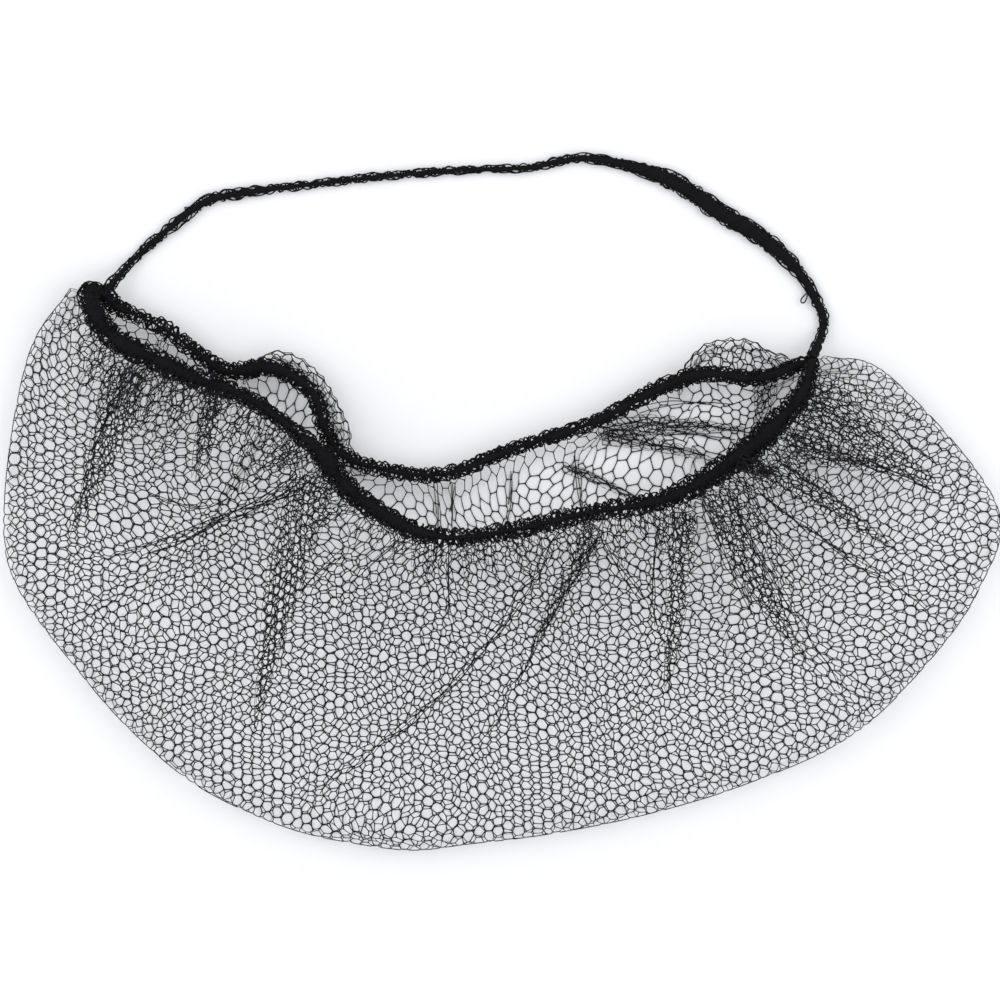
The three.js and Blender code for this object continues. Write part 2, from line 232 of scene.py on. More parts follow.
# Single folds where the net lies over itself: plan route from the rim, half width at the rim, layers on top
Fold = namedtuple("Fold", "start middle end width layers")
FRONT_FOLDS = (
    Fold((-119, 42.5), (-125, 19), (-137.5, -11.5), 7.0, 2),
    Fold((-117, 41), (-118, 31.5), (-120, 21), 5.0, 1),
    Fold((-112, 43), (-114, 35), (-118, 22), 6.0, 1),
    Fold((-102, 40), (-103, 33), (-105, 23), 6.0, 1),
    Fold((-91.5, 36), (-93.5, 21.5), (-97, 4), 5.0, 2),
    Fold((-91, 36), (-91, 31.5), (-92, 25), 4.5, 1),
    Fold((-80, 31), (-83.5, 24), (-87, 15), 5.0, 1),
    Fold((-64.5, 19), (-74, 11), (-85.5, 1.5), 4.5, 1),
    Fold((-58.5, 6.5), (-68.5, -27.5), (-78.5, -75.5), 8.0, 2),
    Fold((32, -9), (19, -30.5), (9, -50), 3.5, 2),
    Fold((58, -4), (56, -34), (52, -66), 4.4, 2),
    Fold((57.5, -4), (57.5, -10.5), (57.5, -19.5), 4.0, 1),
    Fold((69.5, 2.5), (81, -24.5), (100, -54), 5.5, 2),
    Fold((75.5, 6.5), (85, -13), (96.5, -32.5), 4.0, 1),
    Fold((85, 11), (101, 1), (128.5, -17.5), 6.0, 2),
    Fold((95.5, 26), (116, 18), (142, 4), 9.0, 2),
    Fold((99, 32), (110, 27), (124, 20), 7.5, 1),
    Fold((91, 19), (106, 14), (128, 8.5), 5.0, 2),
    Fold((101, 37), (118, 32.5), (136.5, 24), 4.0, 1),
    Fold((76, 12.5), (83, 10), (91, 7.3), 3.0, 7),
    Fold((-64, 6), (-102, -20), (-140, -42), 14.0, 0),
)
BACK_FOLDS = (
    Fold((31.5, 22.5), (54, 24), (82, 22.5), 4.0, 2),
    Fold((33, 20.5), (52, 17.5), (72, 11.5), 3.0, 2),
    Fold((20, 10.5), (34.5, 5), (52, -5), 2.2, 1),
    Fold((86, 39), (84.5, 32), (82.5, 23), 4.0, 2),
    Fold((-108, 53), (-110, 48), (-114, 42), 2.2, 1),
    Fold((-62, 6), (-100, -18), (-140, -40), 14.0, 0),
)

# Gathers: random ranges of distance, length and width as shares of their means, spread of the slant
GATHER_STEPS = (0.6, 1.4)
GATHER_LENGTHS = (0.5, 1.5)
GATHER_WIDTHS = (0.5, 1.3)
GATHER_SLANT = 0.22

# Gathers of the front wall from the left to the right corner: half width at the rim, length
Gather = namedtuple("Gather", "along width length")
GATHERS = (
    Gather(0.00, 1.2, 7),
    Gather(0.08, 3.2, 17),
    Gather(0.20, 3.9, 24),
    Gather(0.30, 3.4, 21),
    Gather(0.42, 3.4, 19),
    Gather(0.55, 2.4, 14),
    Gather(0.65, 2.5, 16),
    Gather(0.75, 2.6, 17),
    Gather(0.88, 3.0, 20),
    Gather(0.96, 2.4, 14),
    Gather(1.00, 1.4, 8),
)

# Squeeze of a sheet: direction that keeps its length, share of the width left across it
Squeeze = namedtuple("Squeeze", "along across")

# Honeycomb: random range of a strand's thickness, largest share of a cell that its strands fill, pitches of
# spare net past a region's box, distance to both sides over which the wall's slope is taken
STRAND_THICKNESS = (0.85, 1.15)
CELL_FILL = 0.86
NET_MARGIN = 6
SLOPE_STEP = 0.2

# Knit along the mouth rim from the left to the right corner: width of the dense cord, reach of its loops
RimKnit = namedtuple("RimKnit", "along front_cord front_loop back_cord back_loop")
RIM_KNIT = (
    RimKnit(0.00, 4.0, 1.7, 3.0, 1.5),
    RimKnit(0.05, 4.2, 2.1, 2.6, 2.0),
    RimKnit(0.09, 4.0, 2.2, 0.8, 2.5),
    RimKnit(0.15, 3.8, 2.1, 0.8, 2.7),
    RimKnit(0.19, 3.6, 2.1, 1.1, 2.4),
    RimKnit(0.23, 3.5, 2.0, 1.9, 2.2),
    RimKnit(0.27, 2.4, 1.7, 3.0, 1.7),
    RimKnit(0.35, 2.0, 1.7, 2.2, 1.8),
    RimKnit(0.42, 4.0, 2.2, 2.0, 1.9),
    RimKnit(0.48, 3.2, 2.0, 1.2, 2.2),
    RimKnit(0.55, 1.8, 2.3, 1.4, 1.9),
    RimKnit(0.60, 1.4, 2.5, 1.6, 1.6),
    RimKnit(0.65, 1.6, 2.6, 1.8, 1.7),
    RimKnit(0.70, 2.6, 2.4, 2.4, 1.8),
    RimKnit(0.75, 4.2, 2.3, 2.4, 1.6),
    RimKnit(0.82, 4.8, 2.3, 2.5, 1.5),
    RimKnit(0.88, 4.2, 2.2, 2.2, 1.5),
    RimKnit(0.94, 3.0, 1.9, 2.0, 1.4),
    RimKnit(1.00, 2.4, 1.6, 2.0, 1.4),
)

# Dense cord: points round it, height of its stitches, level that they are taken from, distance between its
# swellings, their size
CORD_SIDES = 20
CORD_RELIEF = 0.2
CORD_LEVEL = 0.6
SWELL_STEP = 4.0
RIM_SWELL = 0.35
STRAP_SWELL = 0.1

# Yarn: points round it and along a loop, random range of a loop's size, stray as a share of the stitch, and
# a slight rise that keeps the rings of points from turning over where a loop crosses the cord's middle
YARN_SIDES = 5
LOOP_POINTS = 10
LOOP_SIZES = (0.4, 1.2)
LOOP_STRAY = 0.15
RING_RISE = 0.01

# Yarns along both edges of rim and strap: pairs of them, distance between their bows, range of the bows
EdgeYarns = namedtuple("EdgeYarns", "pairs step")
RIM_EDGE = EdgeYarns(4, 1.5)
STRAP_EDGE = EdgeYarns(2, 2.4)
EDGE_BOW = (-0.4, 1.0)

# Routes: points to a row before they are cut to equal steps, points along each rim, steps along rim and
# strap, clearances of yarn and cord above the table
ROUTE_POINTS = 40
RIM_POINTS = 45
RIM_STEP = 0.45
STRAP_STEP = 0.4
YARN_CLEARANCE = 0.05
CORD_CLEARANCE = 0.1

# Strap: height as a share of its width, lowest height of its middle
STRAP_FLATNESS = 0.45
STRAP_LOWEST = 1.4

# Yarns that wind round rim and strap: share of the stitch, lean along the route, phase, share of the reach
Yarn = namedtuple("Yarn", "stitch lean phase reach")
RIM_YARNS = (
    Yarn(0.95, 0.8, 0.0, 0.9),
    Yarn(1.10, -0.8, 2.0, 0.8),
    Yarn(1.35, 0.9, 4.0, 1.0),
)
STRAP_YARNS = (
    Yarn(2.00, 0.0, 0.0, 0.8),
    Yarn(1.90, 0.0, 3.1, 0.8),
)

# Loop of yarn that hangs out of the strap: where it leaves, its tip, its half width and height, its points
STRAY_LOOP = {"root": (99.2, 67.2), "tip": (97.0, 63.4), "width": 1.1, "height": 1.4, "points": 28}

# Head strap from corner to corner: plan place, height, width of its dense cord, reach of its loops
StrapKnit = namedtuple("StrapKnit", "at height cord loop")
STRAP_KNIT = (
    StrapKnit((-127.4, 65.6), 8.5, 2.2, 0.9),
    StrapKnit((-124.6, 69.3), 7, 1.8, 1.0),
    StrapKnit((-117, 78), 1.6, 1.3, 1.1),
    StrapKnit((-105.5, 88), 1.6, 1.6, 1.3),
    StrapKnit((-95.5, 95.5), 1.6, 1.9, 1.3),
    StrapKnit((-84.5, 98.5), 1.6, 1.8, 1.1),
    StrapKnit((-64.5, 101), 1.6, 1.3, 0.9),
    StrapKnit((-38, 104), 1.6, 1.2, 1.0),
    StrapKnit((-13, 106), 1.6, 1.2, 0.9),
    StrapKnit((9, 106.8), 1.6, 1.3, 0.9),
    StrapKnit((18, 108.7), 1.6, 1.5, 0.9),
    StrapKnit((27.5, 109.9), 1.6, 1.7, 0.9),
    StrapKnit((38, 108.3), 1.6, 2.2, 0.8),
    StrapKnit((46.5, 105.9), 1.6, 3.2, 1.0),
    StrapKnit((54, 103.2), 1.6, 4.0, 1.1),
    StrapKnit((62, 98.5), 1.6, 4.2, 1.1),
    StrapKnit((71.5, 92), 1.6, 4.2, 1.1),
    StrapKnit((82, 85.8), 1.6, 4.2, 1.1),
    StrapKnit((90, 79.5), 1.6, 3.6, 1.2),
    StrapKnit((96.5, 72.7), 1.6, 2.4, 1.1),
    StrapKnit((101, 65.5), 1.6, 1.9, 1.0),
    StrapKnit((104, 58.5), 1.6, 1.8, 1.1),
    StrapKnit((103.2, 53), 2.4, 1.8, 1.0),
    StrapKnit((101.4, 49), 7, 2.2, 0.9),
    StrapKnit((100.2, 46), 9.5, 2.4, 0.9),
)

# Finishes of the threads: roughness, sheen, fibres to the metre
Finish = namedtuple("Finish", "roughness sheen fibre")
NET_FINISH = Finish(0.45, 0.01, 2600.0)
KNIT_FINISH = Finish(0.75, 0.02, 4200.0)

# Both threads: mottles to the metre, their octaves, where their tones begin and end, darkest and lightest
# tone as shares of the colour, spread of the roughness, roughness of the sheen, gloss, and octaves, strength
# and depth of the fibres
MOTTLE_SCALE = 240.0
MOTTLE_DETAIL = 3.0
MOTTLE_RANGE = (0.3, 0.75)
MOTTLE_TONES = (0.6, 1.7)
ROUGHNESS_SPREAD = 0.12
SHEEN_ROUGHNESS = 0.4
THREAD_GLOSS = 0.12
FIBRE_DETAIL = 4.0
FIBRE_STRENGTH = 0.35
FIBRE_DEPTH = 0.0002

# Softboxes: place and turn
Softbox = namedtuple("Softbox", "name place turn")
SOFTBOXES = (
    Softbox("softbox_left", (-1.0, 0.3, 0.75), (-0.3, -0.9, 0)),
    Softbox("softbox_right", (1.0, 0.25, 0.75), (-0.25, 0.9, 0)),
)

# Stage: width of a softbox, half width of the table, its roughness and gloss, sky colour, width of the film
SOFTBOX_SIZE = 1.0
TABLE_HALF = 3
TABLE_ROUGHNESS = 0.9
TABLE_GLOSS = 0.1
SKY_COLOUR = (0.95, 0.962, 1, 1)
FILM_WIDTH = 36.0


class NetSettings(bpy.types.PropertyGroup):
    """Sizes and colour of the honeycomb net"""

    front_pitch: FloatProperty(name="Front Cell", description="Distance between cells of the front wall",
                               default=0.00355, unit="LENGTH")
    back_pitch: FloatProperty(name="Back Cell", description="Distance between cells of the back wall",
                              default=0.00375, unit="LENGTH")
    front_turn: FloatProperty(name="Front Turn", description="Turn of the front wall's rows of cells",
                              default=np.radians(92.5), unit="ROTATION")
    back_turn: FloatProperty(name="Back Turn", description="Turn of the back wall's rows of cells",
                             default=np.radians(88.0), unit="ROTATION")
    strand: FloatProperty(name="Strand Thickness", description="Thickness of a net strand",
                          default=0.0003, unit="LENGTH")
    knot: FloatProperty(name="Knot Size", description="Filled width where strands meet",
                        default=0.00026, unit="LENGTH")
    unevenness: FloatProperty(name="Unevenness", description="How far knots stray, as a share of the pitch",
                              default=0.07, min=0.0, max=0.3, subtype="FACTOR")
    drift: FloatProperty(name="Drift", description="How far the rows of cells wander from a straight line",
                         default=0.0020, unit="LENGTH")
    gather: FloatProperty(name="Gather Spacing", description="Mean distance between gathers along the rim",
                          default=0.0035, unit="LENGTH")
    seed: IntProperty(name="Seed", description="Start of the fixed random draws", default=11)
    colour: FloatVectorProperty(name="Thread Colour", description="Colour of the nylon thread",
                                default=(0.0090, 0.0090, 0.0115), size=3, subtype="COLOR")


class KnitSettings(bpy.types.PropertyGroup):
    """Sizes and colour of the knitted rim and strap"""

    yarn: FloatProperty(name="Yarn Thickness", description="Thickness of the looped yarn",
                        default=0.00046, unit="LENGTH")
    rim_stitch: FloatProperty(name="Rim Stitch", description="Length of one stitch along the rim",
                              default=0.0026, unit="LENGTH")
    strap_stitch: FloatProperty(name="Strap Stitch", description="Length of one stitch along the strap",
                                default=0.0024, unit="LENGTH")
    flatness: FloatProperty(name="Flatness", description="Height of the dense cord as a share of its width",
                            default=0.8, min=0.2, max=1.0, subtype="FACTOR")
    seed: IntProperty(name="Seed", description="Start of the fixed random draws", default=23)
    colour: FloatVectorProperty(name="Yarn Colour", description="Colour of the knitted elastic",
                                default=(0.0033, 0.0033, 0.0039), size=3, subtype="COLOR")


class StageSettings(bpy.types.PropertyGroup):
    """Floor, light and camera"""

    view_width: FloatProperty(name="View Width", description="Width of the table that the picture shows",
                              default=0.3216, unit="LENGTH")
    lens: FloatProperty(name="Lens", description="Focal length of the camera in millimetres",
                        default=300.0, unit="CAMERA")
    sky: FloatProperty(name="Sky Light", description="Strength of the even light from all round",
                       default=0.97)
    lamp: FloatProperty(name="Lamp Power", description="Power of each softbox in watts",
                        default=4.0)
    floor: FloatVectorProperty(name="Floor Colour", description="Colour of the table top",
                               default=(0.90, 0.90, 0.90), size=3, subtype="COLOR")


def smoothstep(values, low, high):
    """Rises from 0 at low to 1 at high along 3t^2 - 2t^3."""
    t = np.clip((values - low) / (high - low), 0, 1)
    return t * t * (3 - 2 * t)


def unit(vectors):
    """Vectors along the last axis, each divided by its length."""
    return vectors / np.maximum(np.linalg.norm(vectors, axis=-1, keepdims=True), 1e-9)


def smooth_curve(points, u, closed=False):
    """Uniform Catmull-Rom curve through the rows of points, at shares u of its way from 0 to 1.

    Between two rows it is the cubic whose slope at each row is half the step from the row before to the row
    after. Past the ends an open curve is reflected and a closed one goes on round.
    """
    points = np.asarray(points, float)
    if closed:
        padded = np.concatenate([points[-1:], points, points[:2]])
        spans = len(points)
    else:
        padded = np.concatenate([2 * points[:1] - points[1:2], points, 2 * points[-1:] - points[-2:-1]])
        spans = len(points) - 1
    x = np.clip(u, 0, 1) * spans
    i = np.minimum(x.astype(int), spans - 1)
    t = (x - i)[:, None]
    p0, p1, p2, p3 = (padded[i + k] for k in range(4))
    square = 2 * p0 - 5 * p1 + 4 * p2 - p3
    cube = 3 * p1 - p0 - 3 * p2 + p3
    return 0.5 * (2 * p1 + (p2 - p0) * t + square * t**2 + cube * t**3)


def arc_length(points):
    """Length along a polyline up to each of its points."""
    steps = np.linalg.norm(np.diff(points, axis=-2), axis=-1)
    return np.concatenate([np.zeros_like(steps[..., :1]), np.cumsum(steps, axis=-1)], axis=-1)


def left_of(points):
    """Level unit direction to the left of a polyline in plan."""
    along = unit(np.gradient(points[:, :2], axis=0))
    return np.stack([-along[:, 1], along[:, 0], np.zeros(len(along))], axis=1)


def level(plan, height):
    """Plan points with a height added as third coordinate."""
    return np.column_stack([plan[:, :2], np.broadcast_to(height, len(plan))])


def bspline(controls, steps):
    """Uniform cubic B-spline along axis 1 of controls, reflected at its ends, with steps points a span."""
    first = 2 * controls[:, :1] - controls[:, 1:2]
    last = 2 * controls[:, -1:] - controls[:, -2:-1]
    hull = np.concatenate([first, controls, last], axis=1)
    spans = controls.shape[1] - 1
    t = np.arange(steps) / steps
    rest = 1 - t
    weights = np.stack([rest**3, 3 * t**3 - 6 * t**2 + 4, 3 * rest**3 - 6 * rest**2 + 4, t**3]) / 6
    windows = np.stack([hull[:, k:k + spans] for k in range(4)], axis=2)
    points = np.einsum("uskx,kt->ustx", windows, weights).reshape(len(controls), spans * steps, 3)
    return np.concatenate([points, controls[:, -1:]], axis=1)


def pouch_lines(u):
    """Lines of the pouch at shares u of the way from the left to the right corner.

    Each plan line is a smooth curve through one column of SECTIONS. The front rim rises by a half sine
    towards the middle, and the back rim is lifted where the net puffs out behind it.
    """
    plan = {name: smooth_curve([getattr(row, name) or row.back for row in SECTIONS], u)
            for name in ("front", "edge", "turn", "back")}
    bands = smooth_curve([(row.front_band, row.back_band) for row in SECTIONS], u)
    reach = bands / 2 + SEAT
    overhang = np.linalg.norm(plan["turn"] - plan["back"], axis=1) - PUFF_START * reach[:, 1]
    puff = smoothstep(overhang, 0, PUFF_BLEND)
    lean = np.sin(puff * np.pi / 2)[:, None]
    front_height = FRONT_RIM_CORNER + (FRONT_RIM_MIDDLE - FRONT_RIM_CORNER) * np.sin(np.pi * u)
    return {
        "front": level(plan["front"], front_height),
        "edge": level(plan["edge"], 0),
        "turn": level(plan["back"] + (plan["turn"] - plan["back"]) * lean, 0),
        "back": level(plan["back"], BACK_RIM + PUFF_LIFT * puff),
        "reach": reach,
        "puff": puff,
    }


def lookup(grid, x, y):
    """Bilinear value of grid[i, j] at fractional indices x and y."""
    x = np.clip(x, 0, grid.shape[0] - 1.001)
    y = np.clip(y, 0, grid.shape[1] - 1.001)
    i, j = x.astype(int), y.astype(int)
    s, t = (x - i)[..., None], (y - j)[..., None]
    return ((1 - s) * (1 - t) * grid[i, j] + s * (1 - t) * grid[i + 1, j]
            + (1 - s) * t * grid[i, j + 1] + s * t * grid[i + 1, j + 1])


class Wall:
    """A wall of net given by meridians, addressed by length along one edge and distance up a meridian."""

    def __init__(self, meridians, base, stations):
        """meridians[i, j] are points, and point number base of each meridian lies on the edge."""
        lengths = arc_length(meridians)
        rise = lengths[:, base:base + 1] - lengths
        self.low = rise.min()
        self.high = rise.max()
        self.heights = np.linspace(self.low, self.high, stations)
        self.grid = np.stack([
            np.stack([np.interp(self.heights, r[::-1], line[::-1, k]) for k in range(3)], axis=-1)
            for r, line in zip(rise, meridians)
        ])
        self.along = arc_length(meridians[:, base])
        self.top = rise[:, 0]
        self.shares = np.linspace(0, 1, len(meridians))

    def share(self, a):
        """Share of the way from the left corner at length a along the edge."""
        return np.interp(a, self.along, self.shares)

    def place(self, flat):
        """Points of the wall at lengths along its edge and distances up the meridians, in columns 0 and 1."""
        x = self.share(flat[:, 0]) * (len(self.shares) - 1)
        y = (flat[:, 1] - self.low) / (self.high - self.low) * (len(self.heights) - 1)
        return lookup(self.grid, x, y)


def nearest_on(route, plan):
    """Nearest points of a polyline to plan points: offset vector, distance and share of the way along."""
    starts, steps = route[:-1], np.diff(route, axis=0)
    offset = plan[:, None] - starts[None]
    t = np.clip((offset * steps).sum(-1) / np.maximum((steps**2).sum(-1), 1e-12), 0, 1)
    offset = offset - steps * t[..., None]
    distance = np.linalg.norm(offset, axis=-1)
    best = distance.argmin(axis=1)
    pick = np.arange(len(plan))
    return offset[pick, best], distance[pick, best], (best + t[pick, best]) / len(steps)


def bent_line(entry, count):
    """Points of the quadratic curve from start through middle to end."""
    t = np.linspace(0, 1, count)[:, None]
    start, middle, end = (np.array(p, float) for p in (entry.start, entry.middle, entry.end))
    return (1 - t)**2 * start + 2 * t * (1 - t) * (2 * middle - (start + end) / 2) + t**2 * end


def hung(plan, rim, below, amount, reach):
    """Plan points of a wall that hangs from a rim.

    At distance d below the rim they move on by amount * d * exp(-(d / reach)^2).
    """
    offset, _, _ = nearest_on(rim, plan)
    return plan + unit(offset) * (amount * below * np.exp(-(below / reach)**2))[:, None]


def gathered(plan, rim, below, room, gathering):
    """Plan points of a wall that is gathered into its rim: they are drawn along the rim towards its middle.

    At length a from the rim's middle and distance d below the rim, a point moves by
    pull * span * tanh(a / span) * exp(-d / reach).
    """
    _, _, share = nearest_on(rim, plan)
    at = np.linspace(0, 1, len(rim))
    length = arc_length(rim)
    to_middle = length[-1] / 2 - np.interp(share, at, length)
    side = left_of(rim)
    along = np.column_stack([np.interp(share, at, side[:, 1]), -np.interp(share, at, side[:, 0])])
    pull = gathering.pull * gathering.span * np.tanh(to_middle / gathering.span)
    return plan + along * (pull * np.exp(-below / gathering.reach) * room)[:, None]


def squeezed(plan, folds, room):
    """Plan points drawn towards folds.

    At distance d from a fold of reach w they move by FOLD_PULL * d * exp(-(d / w)^2). The reach shrinks with
    1 - share^2 towards the fold's end.
    """
    for fold in folds:
        offset, distance, share = nearest_on(bent_line(fold, BEND_POINTS), plan)
        reach = FOLD_REACH * fold.width * (1 - share**2) + FOLD_END_REACH
        plan = plan - offset * (FOLD_PULL * np.exp(-(distance / reach)**2) * room)[:, None]
    return plan


def crease_net(plan, creases, room, pull):
    """Plan points and heights of a net that is drawn together along creases.

    A point at distance d moves towards the crease by (pull * d + w * tanh(d / w)) times
    exp(-(d / CREASE_SPREAD)^2), which packs the cells within w of the crease into a thin bundle, and up by
    CREASE_RISE * w * exp(-(d / w)^2). The half width w shrinks with 1 - share^2 towards the crease's end.
    """
    height = np.zeros(len(plan))
    for crease in creases:
        offset, distance, share = nearest_on(bent_line(crease, BEND_POINTS), plan)
        width = np.maximum(crease.width * (1 - share**2), CREASE_LEAST)
        fade = np.exp(-(distance / CREASE_SPREAD)**2)
        move = (pull * distance + width * np.tanh(distance / width)) * fade * room
        plan = plan - unit(offset) * move[:, None]
        height = height + CREASE_RISE * width * room * np.exp(-(distance / width)**2)
    return plan, height


def crease_strands(creases, lay, settings, draw):
    """Strands that run together along creases.

    A crease of half width w has two strands, or three from BROAD_CREASE on. Each follows the crease from near
    its start for a random share of its length, strays to both sides by smooth random shares of w, and lies a
    little higher than the one before.
    """
    radius = settings.strand / MM / 2
    parts = []
    for crease in creases:
        for strand in range(2 if crease.width < BROAD_CREASE else 3):
            first = int(draw.uniform(*STRAND_STARTS))
            last = int(draw.uniform(*STRAND_ENDS))
            line = bent_line(crease, STRAND_POINTS)[first:last]
            at = arc_length(line)
            stray = wander(draw, at, False, STRAND_STEP, -STRAND_STRAY, STRAND_STRAY) * crease.width
            height = CREASE_RISE * crease.width * (1 - (at / at[-1])**2) + radius * strand
            points = lay(line + left_of(line)[:, :2] * stray[:, None], height)
            parts.append(yarn_tube(points, np.broadcast_to(UP, points.shape), radius, False))
    return parts


def gather_folds(rim, spacing, draw):
    """Short folds that run away from the rim at uneven distances and slants, sized by GATHERS."""
    table = np.array(GATHERS, float)
    length = arc_length(rim[:, :2])
    count = int(length[-1] / spacing / GATHER_STEPS[0]) + 1
    at = np.cumsum(draw.uniform(*GATHER_STEPS, count) * spacing)
    at = at[at < length[-1]]
    share = np.interp(at, length, np.linspace(0, 1, len(rim)))
    start = np.column_stack([np.interp(at, length, rim[:, k]) for k in (0, 1)])
    away = -left_of(rim)
    away = np.column_stack([np.interp(at, length, away[:, k]) for k in (0, 1)])
    away = unit(away + GATHER_SLANT * draw.normal(0, 1, (len(at), 1)) * away[:, ::-1] * (1, -1))
    reach = np.interp(share, table[:, 0], table[:, 2]) * draw.uniform(*GATHER_LENGTHS, len(at))
    width = np.interp(share, table[:, 0], table[:, 1]) * draw.uniform(*GATHER_WIDTHS, len(at))
    ends = start + away * reach[:, None]
    return [Fold(tuple(a), tuple((a + b) / 2), tuple(b), w, 1) for a, b, w in zip(start, ends, width)]


def fold_layers(folds, pitch, turn, lay, settings, draw):
    """Layers of net that lie on top in folds.

    A layer covers the leaf whose half width is width * (1 - share^LAYER_TAPER) along the fold, a little to
    one side or the other. Its cells are squeezed across the fold, and their rows are turned a little against
    the wall's. Layer number n lies n * LAYER_STEP higher.
    """
    parts = []
    for fold in folds:
        line = bent_line(fold, FOLD_POINTS)
        side = left_of(line)[:, :2]
        half = (fold.width * (1 - np.linspace(0, 1, len(line))**LAYER_TAPER))[:, None]
        run = np.subtract(fold.end, fold.start)
        for layer in range(fold.layers):
            left, right = draw.uniform(*LAYER_SIDES, 2)
            strip = np.concatenate([line + side * half * left, (line - side * half * right)[::-1]])
            across = min(LAYER_SQUEEZE * fold.width, LAYER_SQUEEZE_LIMIT)
            across = across + draw.uniform(0.0, LAYER_SQUEEZE_SPREAD)
            squeeze = Squeeze(np.arctan2(run[1], run[0]), across)
            rows_turn = turn + draw.normal(0, LAYER_TURN)
            sheet = FlatNet(strip, pitch, rows_turn, draw.uniform(0, pitch, 2), squeeze)
            lift = LAYER_STEP * (layer + 1)
            parts.append(honeycomb(sheet, lambda plan, lift=lift: lay(plan, lift), settings, draw))
    return parts


class FlatNet:
    """Flat sheet of cells, turned in plan about the middle of a region and squeezed in one direction."""

    def __init__(self, region, pitch, turn, shift=(0.0, 0.0), squeeze=Squeeze(0.0, 1.0)):
        """region is a polygon in plan that the sheet has to cover, and shift moves the cells."""
        self.squeeze = squeeze
        self.pitch = pitch
        self.row = pitch * np.sqrt(3) / 2
        self.turn = turn
        low, high = region.min(axis=0), region.max(axis=0)
        span = (high - low + NET_MARGIN * pitch) / squeeze.across
        c, s = abs(np.cos(turn)), abs(np.sin(turn))
        self.columns = int((c * span[0] + s * span[1]) / self.pitch) + 2
        self.rows = int((s * span[0] + c * span[1]) / self.row) + 2
        self.middle = np.array((self.columns * self.pitch, self.rows * self.row)) / 2 + shift
        self.centre = (low + high) / 2
        self.region = region

    def rotated(self, points, angle):
        """Points turned by an angle."""
        c, s = np.cos(angle), np.sin(angle)
        return points @ np.array(((c, s), (-s, c)))

    def plan(self, flat):
        """Plan place of flat points."""
        along = self.squeeze.along
        squeezed = self.rotated(flat - self.middle, self.turn - along) * (1.0, self.squeeze.across)
        return self.rotated(squeezed, along) + self.centre

    def fit(self, flat):
        """Plan place of flat points, or the nearest point on the region's edge for those past it."""
        plan = self.plan(flat)
        past = ~inside(plan, self.region)
        border = np.concatenate([self.region, self.region[:1]])
        offset, _, _ = nearest_on(border, plan[past])
        plan[past] -= offset
        return plan

    def keep(self, flat):
        """Whether cells with these flat centres belong to the region."""
        return inside(self.plan(flat), self.region)


def drifted(plan, amount):
    """Plan points moved across the sheet by sums of slow sine waves, WAVES_X along X and WAVES_Y along Y."""
    x, y = plan.T

    def sway(waves):
        """Sum of the waves at every point."""
        return sum(w.weight * np.sin((w.x * x + w.y * y) / w.length + w.start) for w in waves)

    return plan + amount * np.column_stack([sway(WAVES_X), sway(WAVES_Y)])


def inside(plan, polygon):
    """Whether plan points lie in a polygon: an even-odd count of the edges crossed by a ray."""
    x, y = plan[:, :1], plan[:, 1:2]
    x0, y0 = polygon.T
    x1, y1 = np.roll(polygon, -1, axis=0).T
    spans = (y0 > y) != (y1 > y)
    slope = (x1 - x0) / np.where(y1 == y0, 1e-9, y1 - y0)
    return (spans & (x < x0 + (y - y0) * slope)).sum(axis=1) % 2 == 1


